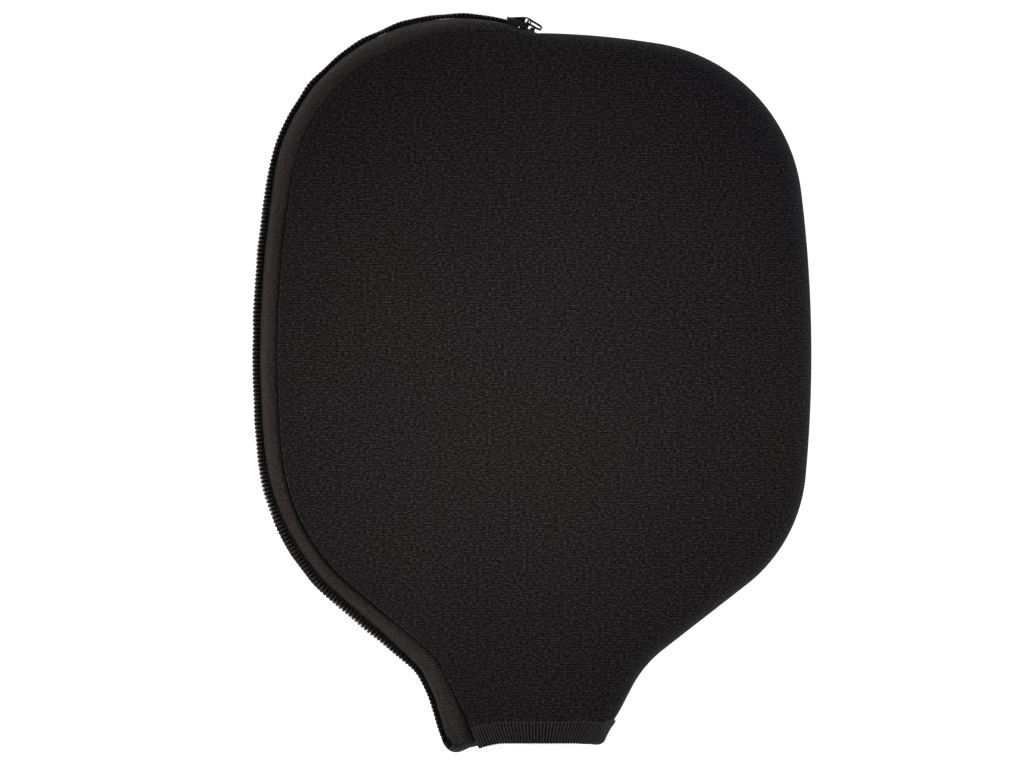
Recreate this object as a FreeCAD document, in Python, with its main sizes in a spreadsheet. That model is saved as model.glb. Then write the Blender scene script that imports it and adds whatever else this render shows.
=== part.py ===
"""Padded slip case for a paddle: two soft panels, a coil zipper round one side, an open neck.

Frame: the case lies flat on its back. X is across, Y runs to the crown, Z is up.
The origin is under the middle of the outline, on the flat outer face of the back panel.
"""
import FreeCAD, Part
import Sketcher

import math
import os

Vector = FreeCAD.Vector
UP = Vector(0, 0, 1)

# alias, value (mm or degrees), meaning
SIZES = [
    ("case_depth", 20.0, "outer thickness of the closed case"),
    ("wall", 3.0, "thickness of the foamed rubber panels"),
    ("rim_round", 9.7, "radius of the rounded rim"),
    ("half_depth", 10.0, "height of the middle plane, where the two panels meet"),
    ("hem_level", -142.0, "Y of the open end of the neck"),
    ("hem_depth", 8.0, "length of the overlocked hem band"),
    ("tape_level", -146.0, "Y where the zipper tapes end"),
    # zipper side of the outline, from the crown round to the neck
    ("crown_centre_x", -29.3, "centre of the crown arc that the slider runs along"),
    ("crown_centre_y", 69.7, "centre of the crown arc that the slider runs along"),
    ("crown_radius", 76.8, "outermost line of the zipper on the crown arc"),
    ("crown_end", 170.4, "angle where the crown arc ends"),
    ("flank_radius", 428.0, "long arc down the zipper side"),
    ("flank_sweep", 15.0, "turn of the long arc"),
    ("shoulder_radius", 88.0, "arc of the zipper side shoulder"),
    ("shoulder_sweep", 44.7, "turn of the shoulder"),
    ("shoulder_run", 38.3, "straight run from the shoulder to the neck"),
    ("neck_radius", 14.3, "hollow arc into the neck"),
    ("neck_sweep", 24.0, "turn of the hollow arc"),
    # sewn side of the outline, from the crown round to the neck
    ("notch_angle", 70.0, "angle where the outline leaves the crown arc"),
    ("notch_radius", 20.0, "hollow arc beside the zipper's end"),
    ("notch_sweep", 19.2, "turn of the hollow arc"),
    ("top_radius", 326.0, "flat arc across the top"),
    ("top_sweep", 8.4, "turn of the flat arc"),
    ("corner_radius", 67.8, "upper corner of the sewn side"),
    ("corner_sweep", 73.6, "turn of the upper corner"),
    ("side_radius", 516.0, "long arc down the sewn side"),
    ("side_sweep", 12.6, "turn of the long arc"),
    ("hip_radius", 61.7, "arc of the sewn side shoulder"),
    ("hip_sweep", 46.7, "turn of the shoulder"),
    ("hip_run", 41.8, "straight run from the shoulder to the neck"),
    ("throat_radius", 45.0, "hollow arc into the neck"),
    ("throat_sweep", 25.0, "turn of the hollow arc"),
    # seams
    ("rim_inset", 2.35, "from the zipper's outermost line in to the fabric rim"),
    ("front_band", 10.45, "from the zipper's outermost line in to the front tape seam"),
    ("back_band", 5.8, "from the zipper's outermost line in to the back tape seam"),
    ("front_leave", 125.0, "angle where the front tape seam leaves the crown arc"),
    ("front_ease_radius", 84.6, "arc that eases the front tape seam into the top"),
    ("front_ease_sweep", 35.0, "turn of that arc"),
    ("back_leave", 85.0, "angle where the back tape seam leaves the crown arc"),
    ("flange_inner", 7.0, "inner edge of the turned in seam allowance"),
    ("flange_outer", 1.5, "outer edge of the allowance, inside the wall"),
    ("flange_depth", 2.5, "thickness of each panel's allowance"),
    ("thread", 0.4, "thickness of an overlock thread layer"),
    ("seam_thread_gap", 12.4, "outer edge of the hidden tape seam thread"),
    ("seam_thread_width", 2.8, "width of the hidden tape seam thread"),
    # fold of the front panel
    ("fold_top_x", -8.0, "upper point of the fold line"),
    ("fold_top_y", 141.0, "upper point of the fold line"),
    ("fold_foot_x", -35.0, "lower point of the fold line"),
    ("fold_foot_y", -142.0, "lower point of the fold line"),
    ("fold_band", 27.0, "width of the stretch that bends"),
    ("fold_gap", 0.3, "gap between the flap and the fixed front"),
    # zipper chain
    ("chain_tilt", 8.0, "chain's outward normal above the horizontal"),
    ("tape_thick", 0.8, "woven tape"),
    ("tape_edge", 1.05, "half of the gap between the two tapes"),
    ("coil_edge", 0.15, "half of the gap between the two coils"),
    ("coil_width", 2.45, "width of one coil across the chain"),
    ("coil_thick", 2.05, "height of the coil off the tape"),
    ("coil_lift", 0.02, "coil stands this clear of the tape"),
    ("cord_bore", 0.9, "bore along the coil"),
    ("cord_thick", 0.8, "filler cord in the coil"),
    ("chain_start", 71.4, "angle where the coils start"),
    ("tape_start", 65.4, "angle where the tapes start"),
    ("coil_short", 6.0, "coils stop this far before the tape ends"),
    # slider and pull
    ("slider_angle", 71.8, "angle of the slider's middle with the zipper closed"),
    ("slider_half", 4.9, "half of the slider's length"),
    ("slider_tail", 3.5, "half width at the tail"),
    ("slider_nose", 3.7, "half width at the nose"),
    ("plate", 0.75, "thickness of the slider's plates"),
    ("outer_gap", 2.25, "underside of the outer plate above the tape"),
    ("inner_gap", 1.75, "top of the inner plate below the tape"),
    ("inner_half", 3.0, "half width of the inner plate"),
    ("flange_wall", 0.6, "thickness of the guide flanges"),
    ("flange_reach", 2.0, "depth of the guide flanges"),
    ("bail_width", 1.4, "width of the bail"),
    ("bail_thick", 0.55, "thickness of the bail"),
    ("bail_room", 1.65, "clear height under the bail"),
    ("pull_wire", 0.9, "diameter of the pull's wire"),
    ("pull_width", 10.0, "width of the pull between wire centres"),
    ("pull_length", 5.8, "length of the pull between wire centres"),
    ("pull_pivot_x", 3.55, "pivot ahead of the slider's middle"),
    ("pull_pivot_y", 3.92, "pivot above the tape"),
    ("pull_rest", 12.0, "the pull leans in by this much at rest"),
    ("pull_roll", 6.0, "the pull rolls by this much in the loose bail"),
]

# fixed details
NOTCH_IN = 8.0
NOTCH_FROM = 57.0
NOTCH_TO = 87.0
NOTCH_BELOW = 5.6
NOTCH_ABOVE = 6.7
SHOULDER_AT = 1.0
NOSE_CUT = 1.2
WEDGE_TAIL = 1.0
WEDGE_TIP = 0.2
WEDGE_WIDE = 3.0
WEDGE_HALF = 0.8
WEDGE_SHORT = 0.6
BAIL_REAR = 3.4
BAIL_LOW = 0.35
BAIL_FULL_AT = 2.0
BAIL_WINDOW_AT = 2.35
STITCH_NEAR = 2.62
STITCH_FAR = 2.85
STITCH_HIGH = 0.25
STOP_NEAR = 0.3
STOP_FAR = 2.6
STOP_GAP = 0.4
STOP_LONG = 1.8
STOP_HIGH = 1.6
STOP_LOW = 0.05
FOOT_STOP = (2.2, 0.05, 2.4, 3.0)
FOOT_STOP_AT = 3.2
END_TACK = (1.6, 0.3, 0.8, 5.0)
END_TACK_AT = 1.0

doc = FreeCAD.newDocument("paddle_case")
sheet = doc.addObject("Spreadsheet::Sheet", "Sizes")
for row, (alias, value, meaning) in enumerate(SIZES, start=1):
    sheet.set(f"A{row}", meaning)
    sheet.set(f"B{row}", str(value))
    sheet.setAlias(f"B{row}", alias)
doc.recompute()


def size(alias):
    return float(getattr(sheet, alias))


# ---------------------------------------------------------------- plan curves

def polar(angle, radius=1.0):
    turn = math.radians(angle)
    return Vector(radius * math.cos(turn), radius * math.sin(turn), 0)


CROWN = Vector(size("crown_centre_x"), size("crown_centre_y"), 0)


def trace(start, heading, steps, level=None):
    """Edges of a run of tangent arcs and straights; a positive sweep turns left."""
    edges = []
    here = start
    for radius, sweep in steps:
        if radius is None:
            there = here + polar(heading, sweep)
            edges.append(Part.LineSegment(here, there).toShape())
        else:
            side = math.copysign(90, sweep)
            centre = here + polar(heading + side, radius)
            middle = centre + polar(heading + sweep / 2 - side, radius)
            heading += sweep
            there = centre + polar(heading - side, radius)
            edges.append(Part.Arc(here, middle, there).toShape())
        here = there
    if level is not None:
        there = here + polar(heading, (level - here.y) / math.sin(math.radians(heading)))
        edges.append(Part.LineSegment(here, there).toShape())
        here = there
    return edges, here


def zip_line(inset, level, first_angle):
    """The zipper side's line at an inset, from an angle on the crown down to a level."""
    start = CROWN + polar(first_angle, size("crown_radius") - inset)
    steps = [
        (size("crown_radius") - inset, size("crown_end") - first_angle),
        (size("flank_radius") - inset, size("flank_sweep")),
        (size("shoulder_radius") - inset, size("shoulder_sweep")),
        (None, size("shoulder_run")),
        (size("neck_radius") + inset, -size("neck_sweep")),
    ]
    return trace(start, first_angle + 90, steps, level)


def sewn_line(inset, level):
    """The sewn side's line at an inset from the fabric rim, from the crown down to a level."""
    leave = size("notch_angle")
    start = CROWN + polar(leave, size("crown_radius") - size("rim_inset") - inset)
    steps = [
        (size("notch_radius") + inset, size("notch_sweep")),
        (size("top_radius") - inset, -size("top_sweep")),
        (size("corner_radius") - inset, -size("corner_sweep")),
        (size("side_radius") - inset, -size("side_sweep")),
        (size("hip_radius") - inset, -size("hip_sweep")),
        (None, size("hip_run")),
        (size("throat_radius") + inset, size("throat_sweep")),
    ]
    return trace(start, leave - 90, steps, level)


def sewn_strip(near, far):
    """A strip along the sewn side, from past the zipper's end down to the hem band."""
    level = size("hem_level") + size("hem_depth")
    outer, outer_foot = sewn_line(near, level)
    inner, inner_foot = sewn_line(far, level)
    outer = outer[1:]
    inner = inner[1:]
    ends = straight(outer_foot, inner_foot)
    ends += straight(outer[0].firstVertex().Point, inner[0].firstVertex().Point)
    return outer + inner + ends


def straight(*points):
    return [Part.LineSegment(a, b).toShape() for a, b in zip(points, points[1:])]


def rim_outline():
    """The closed outline of the fabric at the middle plane."""
    left, left_foot = zip_line(size("rim_inset"), size("hem_level"), size("notch_angle"))
    right, right_foot = sewn_line(0, size("hem_level"))
    return left + straight(left_foot, right_foot) + right


FAR = 200.0


def band_region(band, leave, ease):
    """Everything outside a tape seam, as a closed outline."""
    inner, foot = zip_line(band, size("tape_level") - size("rim_round"), leave)
    start = CROWN + polar(leave, size("crown_radius") - band)
    crest, end = trace(start, leave - 90, ease + [(None, size("crown_radius"))])
    corners = [foot, Vector(-FAR, foot.y, 0), Vector(-FAR, FAR, 0), Vector(end.x, FAR, 0), end]
    return inner + straight(*corners) + crest


def front_band():
    ease = [(size("front_ease_radius"), -size("front_ease_sweep"))]
    return band_region(size("front_band"), size("front_leave"), ease)


def back_band():
    return band_region(size("back_band"), size("back_leave"), [])


def fold_line(offset):
    """Two points of a line beside the fold, on the flap's side of it."""
    top = Vector(size("fold_top_x"), size("fold_top_y"), 0)
    foot = Vector(size("fold_foot_x"), size("fold_foot_y"), 0)
    along = (top - foot).normalize()
    away = Vector(-along.y, along.x, 0) * offset
    return top + away + along * FAR, foot + away - along * FAR


def side_of_fold(offset, reach):
    """A strip from a line beside the fold out to a far line."""
    top, foot = fold_line(offset)
    far_top, far_foot = fold_line(offset + reach)
    return straight(top, foot, far_foot, far_top, top)


# ---------------------------------------------------------------- panels

def origin_plane(body, role):
    return next(plane for plane in body.Origin.OriginFeatures if plane.Role == role)


def sketch_on(body, name, role, edges, offset=0.0, expression=None):
    """A sketch with fixed geometry, on one of the body's own origin planes."""
    sketch = body.newObject("Sketcher::SketchObject", name)
    sketch.AttachmentSupport = [(origin_plane(body, role), "")]
    sketch.MapMode = "FlatFace"
    sketch.AttachmentOffset = FreeCAD.Placement(Vector(0, 0, offset), FreeCAD.Rotation())
    if expression:
        sketch.setExpression("AttachmentOffset.Base.z", expression)
    for edge in edges:
        curve = edge.Curve
        if isinstance(curve, Part.Circle):
            curve = Part.ArcOfCircle(curve, edge.FirstParameter, edge.LastParameter)
        else:
            curve = Part.LineSegment(edge.firstVertex().Point, edge.lastVertex().Point)
        index = sketch.addGeometry(curve, False)
        sketch.addConstraint(Sketcher.Constraint("Block", index))
    return sketch


def pocket(body, name, edges):
    """Remove everything above and below a closed outline."""
    sketch = sketch_on(body, name + "_line", "XY_Plane", edges)
    cut = body.newObject("PartDesign::Pocket", name)
    cut.Profile = sketch
    cut.Type = "ThroughAll"
    cut.Midplane = True
    return cut


def half_shell(name, upper):
    """Half of the case's skin: a plate with a rounded rim, hollowed, open at the neck."""
    body = doc.addObject("PartDesign::Body", name)
    sketch = sketch_on(body, name + "_outline", "XY_Plane", rim_outline(), size("half_depth"),
                       "Sizes.half_depth")
    plate = body.newObject("PartDesign::Pad", name + "_plate")
    plate.Profile = sketch
    plate.setExpression("Length", "Sizes.half_depth")
    plate.Reversed = not upper
    doc.recompute()
    face_level = size("case_depth") if upper else 0.0
    rim = [index for index, edge in enumerate(plate.Shape.Edges, start=1)
           if all(abs(v.Z - face_level) < 0.001 for v in edge.Vertexes)
           and not all(abs(v.Y - size("hem_level")) < 0.001 for v in edge.Vertexes)]
    rounded = body.newObject("PartDesign::Fillet", name + "_rim")
    rounded.Base = (plate, [f"Edge{index}" for index in rim])
    rounded.setExpression("Radius", "Sizes.rim_round")
    doc.recompute()
    middle = size("half_depth")
    open_faces = [index for index, face in enumerate(rounded.Shape.Faces, start=1)
                  if face.BoundBox.YMax < size("hem_level") + 0.001
                  or (face.BoundBox.ZLength < 0.001 and abs(face.BoundBox.ZMin - middle) < 0.001)]
    hollow = body.newObject("PartDesign::Thickness", name + "_hollow")
    hollow.Base = (rounded, [f"Face{index}" for index in open_faces])
    hollow.setExpression("Value", "Sizes.wall")
    hollow.Reversed = True
    doc.recompute()
    assert hollow.Shape.Volume < rounded.Shape.Volume
    return body


def strip_region(top, bottom):
    """A wide closed strip between two heights across the neck."""
    left = Vector(-FAR, top, 0)
    right = Vector(FAR, top, 0)
    low_right = Vector(FAR, bottom, 0)
    low_left = Vector(-FAR, bottom, 0)
    return straight(left, right, low_right, low_left, left)


def add_flange(body, name, upper):
    """The turned in seam allowance down the sewn side."""
    edges = sewn_strip(size("flange_outer"), size("flange_inner"))
    sketch = sketch_on(body, name + "_allowance_line", "XY_Plane", edges,
                       size("half_depth"), "Sizes.half_depth")
    flange = body.newObject("PartDesign::Pad", name + "_allowance")
    flange.Profile = sketch
    flange.setExpression("Length", "Sizes.flange_depth")
    flange.Reversed = not upper


def clear_slider(body, name):
    """The wall stands open where the slider parks, from the rim in."""
    near = size("crown_radius") - NOTCH_IN
    first = CROWN + polar(NOTCH_FROM, near)
    last = CROWN + polar(NOTCH_TO, near)
    outside = [CROWN + polar(NOTCH_TO, near + FAR), CROWN + polar(NOTCH_FROM, near + FAR)]
    arc = Part.Arc(first, CROWN + polar((NOTCH_FROM + NOTCH_TO) / 2, near), last).toShape()
    edges = [arc] + straight(last, outside[0], outside[1], first)
    low = size("half_depth") - NOTCH_BELOW
    sketch = sketch_on(body, name + "_slot_line", "XY_Plane", edges, low)
    cut = body.newObject("PartDesign::Pocket", name + "_slot")
    cut.Profile = sketch
    cut.Length = NOTCH_BELOW + NOTCH_ABOVE
    cut.Reversed = True


def back_panel():
    body = half_shell("back_panel", upper=False)
    pocket(body, "back_panel_tape_seam", back_band())
    pocket(body, "back_panel_hem_end", strip_region(size("hem_level") + size("hem_depth"), -FAR))
    add_flange(body, "back_panel", upper=False)
    clear_slider(body, "back_panel")
    return body


def front_panel():
    body = half_shell("front_panel", upper=True)
    pocket(body, "front_panel_tape_seam", front_band())
    pocket(body, "front_panel_hem_end", strip_region(size("hem_level") + size("hem_depth"), -FAR))
    pocket(body, "front_panel_fold", side_of_fold(size("fold_band"), FAR))
    add_flange(body, "front_panel", upper=True)
    clear_slider(body, "front_panel")
    return body


def front_flap_panel():
    body = half_shell("front_flap_panel", upper=True)
    pocket(body, "front_flap_tape_seam", front_band())
    pocket(body, "front_flap_fold", side_of_fold(size("fold_band") + size("fold_gap"), -2 * FAR))
    return body


def hem_band(name, upper, band):
    """The overlocked end of one panel at the neck's mouth."""
    body = half_shell(name, upper)
    pocket(body, name + "_tape_seam", band)
    pocket(body, name + "_top", strip_region(FAR, size("hem_level") + size("hem_depth")))
    return body


# ---------------------------------------------------------------- swept pieces

RIM_CENTRE = -size("rim_round")
TILT = math.radians(size("chain_tilt"))


def rim_point(start, angle, radius, offset=0.0):
    """A point of the rim's section: angle round the rim from the middle plane."""
    turn = math.radians(angle)
    out = polar(start)
    across = RIM_CENTRE + offset + radius * math.cos(turn)
    return rim_start(start) + out * across + UP * (size("half_depth") + radius * math.sin(turn))


def rim_start(start):
    return CROWN + polar(start, size("crown_radius") - size("rim_inset"))


def chain_point(start, across, lift):
    """A point of the chain's section: across it, and off the tape."""
    base = rim_point(start, size("chain_tilt"), size("rim_round"))
    outward = polar(start) * math.cos(TILT) + UP * math.sin(TILT)
    sideways = UP * math.cos(TILT) - polar(start) * math.sin(TILT)
    return base + sideways * across + outward * lift


def sweep_along(path, sections):
    """Sweep closed sections along a flat path; later sections are bores."""
    solids = [Part.Wire(path).makePipeShell([section], True, False) for section in sections]
    shape = solids[0]
    for bore in solids[1:]:
        shape = shape.cut(bore)
    return shape


def feature(name, shape):
    piece = doc.addObject("Part::Feature", name)
    piece.Shape = shape
    piece.Placement = FreeCAD.Placement()
    return piece


def rim_path(start, short=0.0):
    return zip_line(size("rim_inset"), size("tape_level") + short, start)[0]


def rim_band_section(start, low, high, outer, inner):
    """A thin curved band round part of the rim."""
    middle = (low + high) / 2
    outside = Part.Arc(rim_point(start, low, outer), rim_point(start, middle, outer),
                       rim_point(start, high, outer)).toShape()
    inside = Part.Arc(rim_point(start, high, inner), rim_point(start, middle, inner),
                      rim_point(start, low, inner)).toShape()
    sides = straight(rim_point(start, high, outer), rim_point(start, high, inner))
    sides += straight(rim_point(start, low, inner), rim_point(start, low, outer))
    return Part.Wire([outside, sides[0], inside, sides[1]])


def flat_prism(edges, low, high):
    face = Part.Face(Part.Wire(Part.__sortEdges__(edges)))
    face.translate(UP * low)
    return face.extrude(UP * (high - low))


def tape(name, low, high, band, inside_low, inside_high):
    """A woven tape from the chain round the rim to its seam."""
    start = size("tape_start")
    radius = size("rim_round")
    section = rim_band_section(start, low, high, radius, radius - size("tape_thick"))
    shape = sweep_along(rim_path(start), [section])
    return feature(name, shape.common(flat_prism(band, inside_low, inside_high)))


def chain_edge_angle(across):
    return size("chain_tilt") + math.degrees(across / size("rim_round"))


def front_zip_tape():
    low = chain_edge_angle(size("tape_edge"))
    return tape("front_zip_tape", low, 90.0, front_band(), 0, 2 * size("case_depth"))


def back_zip_tape():
    high = chain_edge_angle(-size("tape_edge"))
    return tape("back_zip_tape", -90.0, high, back_band(), -size("case_depth"), size("case_depth"))


def coil_section(start, side, near, far, low, high):
    corners = [(near, low), (far, low), (far, high), (near, high)]
    points = [chain_point(start, side * across, lift) for across, lift in corners]
    return Part.Wire(straight(*points, points[0]))


def coil(name, side):
    """One row of the coil, with the bore that its filler cord lies in."""
    start = size("chain_start")
    near = size("coil_edge")
    far = near + size("coil_width")
    low = size("coil_lift")
    high = low + size("coil_thick")
    centre = (near + far) / 2
    half = size("cord_bore") / 2
    middle = (low + high) / 2
    outer = coil_section(start, side, near, far, low, high)
    bore = coil_section(start, side, centre - half, centre + half, middle - half, middle + half)
    return feature(name, sweep_along(rim_path(start, size("coil_short")), [outer, bore]))


def coil_cord(name, side):
    """The filler cord through one row of the coil."""
    start = size("chain_start")
    across = side * (size("coil_edge") + size("coil_width") / 2)
    middle = chain_point(start, across, size("coil_lift") + size("coil_thick") / 2)
    along = polar(start + 90)
    circle = Part.Circle(middle, along, size("cord_thick") / 2).toShape()
    return feature(name, sweep_along(rim_path(start, size("coil_short")), [Part.Wire(circle)]))


def coil_stitch(name, side):
    """The thread that holds one row of the coil to its tape."""
    start = size("chain_start")
    near = chain_edge_angle(side * STITCH_NEAR)
    far = chain_edge_angle(side * STITCH_FAR)
    radius = size("rim_round")
    section = rim_band_section(start, near, far, radius + STITCH_HIGH, radius + size("coil_lift"))
    return feature(name, sweep_along(rim_path(start, size("coil_short")), [section]))


def tape_seam_thread(name, leave, gap, level):
    """The hidden overlock thread along a tape's seam, on the panel's inner face."""
    foot = size("hem_level") + size("hem_depth")
    outer, outer_foot = zip_line(gap, foot, leave)
    inner, inner_foot = zip_line(gap + size("seam_thread_width"), foot, leave)
    ends = straight(outer_foot, inner_foot)
    ends += straight(outer[0].firstVertex().Point, inner[0].firstVertex().Point)
    return feature(name, flat_prism(outer + inner + ends, level, level + size("thread")))


def side_seam_thread():
    """The overlock thread round the inner edge of the sewn side's allowance."""
    edges = sewn_strip(size("flange_inner"), size("flange_inner") + size("thread"))
    low = size("half_depth") - size("flange_depth")
    return feature("side_seam_thread", flat_prism(edges, low, low + 2 * size("flange_depth")))


# ---------------------------------------------------------------- slider and pull

def chain_frame(angle):
    """Placement at the chain: X towards the closed end, Y off the tape, Z across the chain."""
    across = UP * math.cos(TILT) - polar(angle) * math.sin(TILT)
    outward = polar(angle) * math.cos(TILT) + UP * math.sin(TILT)
    along = polar(angle - 90)
    matrix = FreeCAD.Matrix(along.x, outward.x, across.x, 0, along.y, outward.y, across.y, 0,
                            along.z, outward.z, across.z, 0, 0, 0, 0, 1)
    turned = FreeCAD.Placement(matrix)
    turned.Base = chain_point(angle, 0, 0)
    return turned


def pad(body, name, role, edges, start, expression, reverse=False):
    """A pad from an offset plane; PartDesign's XZ plane faces -Y."""
    sketch = sketch_on(body, name + "_line", role, edges, start)
    solid = body.newObject("PartDesign::Pad", name)
    solid.Profile = sketch
    solid.setExpression("Length", expression)
    solid.Reversed = reverse
    return solid


def plan(*points):
    return straight(*[Vector(x, y, 0) for x, y in points], Vector(*points[0], 0))


def slider_body():
    """Two plates joined by the wedge that parts the coils, with guide flanges."""
    body = doc.addObject("PartDesign::Body", "slider_body")
    half = size("slider_half")
    tail = size("slider_tail")
    nose = size("slider_nose")
    outer_low = size("outer_gap")
    inner_top = -size("inner_gap")
    cut = NOSE_CUT
    shape = plan((-half, -tail), (SHOULDER_AT, -tail), (half - cut, -nose), (half, -nose + cut),
                 (half, nose - cut), (half - cut, nose), (SHOULDER_AT, tail), (-half, tail))
    pad(body, "outer_plate", "XZ_Plane", shape, -outer_low, "Sizes.plate", reverse=True)
    inner = size("inner_half")
    lower = plan((-half, -inner), (half, -inner), (half, inner), (-half, inner))
    pad(body, "inner_plate", "XZ_Plane", lower, -inner_top, "Sizes.plate")
    end = half - WEDGE_SHORT
    wedge = plan((WEDGE_TAIL, -WEDGE_TIP), (WEDGE_WIDE, -WEDGE_HALF), (end, -WEDGE_HALF),
                 (end, WEDGE_HALF), (WEDGE_WIDE, WEDGE_HALF), (WEDGE_TAIL, WEDGE_TIP))
    doc.recompute()
    pad(body, "wedge", "XZ_Plane", wedge, -outer_low, "Sizes.outer_gap + Sizes.inner_gap")
    for label, side in (("upper", 1), ("lower", -1)):
        near = side * (tail - size("flange_wall"))
        wall = plan((-half, near), (SHOULDER_AT, near), (SHOULDER_AT, side * tail), (-half, side * tail))
        pad(body, f"{label}_guide", "XZ_Plane", wall, -outer_low, "Sizes.flange_reach")
    body.Placement = chain_frame(size("slider_angle"))
    return body


def slider_bail():
    """A ramp on the slider's outer plate, with a window near the nose that the pull hangs in."""
    body = doc.addObject("PartDesign::Body", "slider_bail")
    base = size("outer_gap") + size("plate")
    top = base + size("bail_room")
    thick = size("bail_thick")
    rear = -BAIL_REAR
    front = size("slider_half")
    window = BAIL_WINDOW_AT
    arch = plan((rear, base), (window, base), (window, top), (front - thick, top),
                (front - thick, base), (front, base), (front, top), (front - thick, top + thick),
                (BAIL_FULL_AT, top + thick), (rear, base + BAIL_LOW))
    sketch = sketch_on(body, "arch_line", "XY_Plane", arch)
    solid = body.newObject("PartDesign::Pad", "arch")
    solid.Profile = sketch
    solid.setExpression("Length", "Sizes.bail_width")
    solid.Midplane = True
    body.Placement = chain_frame(size("slider_angle"))
    return body


def pull_loop():
    """A closed loop of wire, hinged under the bail."""
    half = size("pull_width") / 2
    length = size("pull_length")
    bend = size("pull_wire")
    corner = bend * (1 - math.sqrt(0.5))
    points = [Vector(bend, 0, -half), Vector(length - bend, 0, -half)]
    loop = straight(*points)
    loop += [Part.Arc(Vector(length - bend, 0, -half), Vector(length - corner, 0, -half + corner),
                      Vector(length, 0, -half + bend)).toShape()]
    loop += straight(Vector(length, 0, -half + bend), Vector(length, 0, half - bend))
    loop += [Part.Arc(Vector(length, 0, half - bend), Vector(length - corner, 0, half - corner),
                      Vector(length - bend, 0, half)).toShape()]
    loop += straight(Vector(length - bend, 0, half), Vector(bend, 0, half))
    loop += [Part.Arc(Vector(bend, 0, half), Vector(corner, 0, half - corner),
                      Vector(0, 0, half - bend)).toShape()]
    loop += straight(Vector(0, 0, half - bend), Vector(0, 0, -half + bend))
    loop += [Part.Arc(Vector(0, 0, -half + bend), Vector(corner, 0, -half + corner),
                      Vector(bend, 0, -half)).toShape()]
    middle = Vector(length / 2, 0, -half)
    path = straight(middle, Vector(length - bend, 0, -half)) + loop[1:] + straight(points[0], middle)
    circle = Part.Circle(middle, Vector(1, 0, 0), size("pull_wire") / 2).toShape()
    ring = Part.Wire(path).makePipeShell([Part.Wire(circle)], True, False)
    piece = doc.addObject("Part::Feature", "pull_loop")
    piece.Shape = ring
    pivot = FreeCAD.Placement(Vector(size("pull_pivot_x"), size("pull_pivot_y"), 0),
                              FreeCAD.Rotation(UP, -size("pull_rest")))
    roll = FreeCAD.Placement(Vector(), FreeCAD.Rotation(Vector(1, 0, 0), size("pull_roll")))
    piece.Placement = chain_frame(size("slider_angle")).multiply(pivot).multiply(roll)
    return piece


# ---------------------------------------------------------------- stops and tacks

def block_on_chain(name, angle, ahead, box):
    """A small block fixed to the chain: length, limits off the tape, limits across the chain."""
    length, low, high, near, far = box
    piece = doc.addObject("Part::Box", name)
    piece.Length = length
    piece.Width = high - low
    piece.Height = far - near
    corner = FreeCAD.Placement(Vector(ahead, low, near), FreeCAD.Rotation())
    piece.Placement = chain_frame(angle).multiply(corner)
    return piece


def top_stop(name, side):
    near, far = sorted((side * STOP_NEAR, side * STOP_FAR))
    ahead = size("slider_half") + STOP_GAP
    return block_on_chain(name, size("slider_angle"), ahead, (STOP_LONG, STOP_LOW, STOP_HIGH, near, far))


def foot_frame(back_from_end):
    """Placement on the chain near its lower end: X up the chain, Y off the tape."""
    path, foot = zip_line(size("rim_inset"), size("tape_level") + back_from_end, 90.0)
    before = path[-1].firstVertex().Point
    along = (before - foot).normalize()
    outward_flat = along.cross(UP) * -1
    rim = foot + outward_flat * (RIM_CENTRE + size("rim_round") * math.cos(TILT))
    rim += UP * (size("half_depth") + size("rim_round") * math.sin(TILT))
    across = UP * math.cos(TILT) - outward_flat * math.sin(TILT)
    outward = outward_flat * math.cos(TILT) + UP * math.sin(TILT)
    matrix = FreeCAD.Matrix(along.x, outward.x, across.x, 0, along.y, outward.y, across.y, 0,
                            along.z, outward.z, across.z, 0, 0, 0, 0, 1)
    placed = FreeCAD.Placement(matrix)
    placed.Base = rim
    return placed


def foot_block(name, box, back_from_end):
    """A block across both tapes: length up the chain, limits off the tape, half width."""
    length, low, high, half = box
    piece = doc.addObject("Part::Box", name)
    piece.Length = length
    piece.Width = high - low
    piece.Height = 2 * half
    corner = FreeCAD.Placement(Vector(0, low, -half), FreeCAD.Rotation())
    piece.Placement = foot_frame(back_from_end).multiply(corner)
    return piece


PIECES = [
    back_panel(),
    front_panel(),
    front_flap_panel(),
    hem_band("back_hem_band", False, back_band()),
    hem_band("front_hem_band", True, front_band()),
    front_zip_tape(),
    back_zip_tape(),
    coil("front_zip_coil", 1),
    coil("back_zip_coil", -1),
    coil_cord("front_coil_cord", 1),
    coil_cord("back_coil_cord", -1),
    coil_stitch("front_coil_stitch", 1),
    coil_stitch("back_coil_stitch", -1),
    tape_seam_thread("front_tape_seam_thread", size("front_leave"), size("seam_thread_gap"),
                     size("case_depth") - size("wall") - size("thread")),
    tape_seam_thread("back_tape_seam_thread", size("front_leave"), size("seam_thread_gap"), size("wall")),
    side_seam_thread(),
    slider_body(),
    slider_bail(),
    pull_loop(),
    top_stop("front_top_stop", 1),
    top_stop("back_top_stop", -1),
    foot_block("bottom_stop", FOOT_STOP, FOOT_STOP_AT),
    foot_block("zip_end_tack", END_TACK, END_TACK_AT),
]
doc.recompute()


def check_and_write():
    for item in doc.Objects:
        faults = [state for state in item.State if state in ("Invalid", "Error")]
        assert not faults, f"{item.Label} is {faults}"
    os.makedirs("parts", exist_ok=True)
    for piece in PIECES:
        shape = piece.Shape
        assert not shape.isNull() and shape.isValid(), piece.Label
        assert len(shape.Solids) == 1, f"{piece.Label} has {len(shape.Solids)} solids"
        shape.exportStep(f"parts/{piece.Label}.step")
        print(piece.Label, round(shape.Volume, 1), [round(v, 2) for v in (
            shape.BoundBox.XMin, shape.BoundBox.XMax, shape.BoundBox.YMin, shape.BoundBox.YMax,
            shape.BoundBox.ZMin, shape.BoundBox.ZMax)])


check_and_write()
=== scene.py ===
import math

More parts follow.
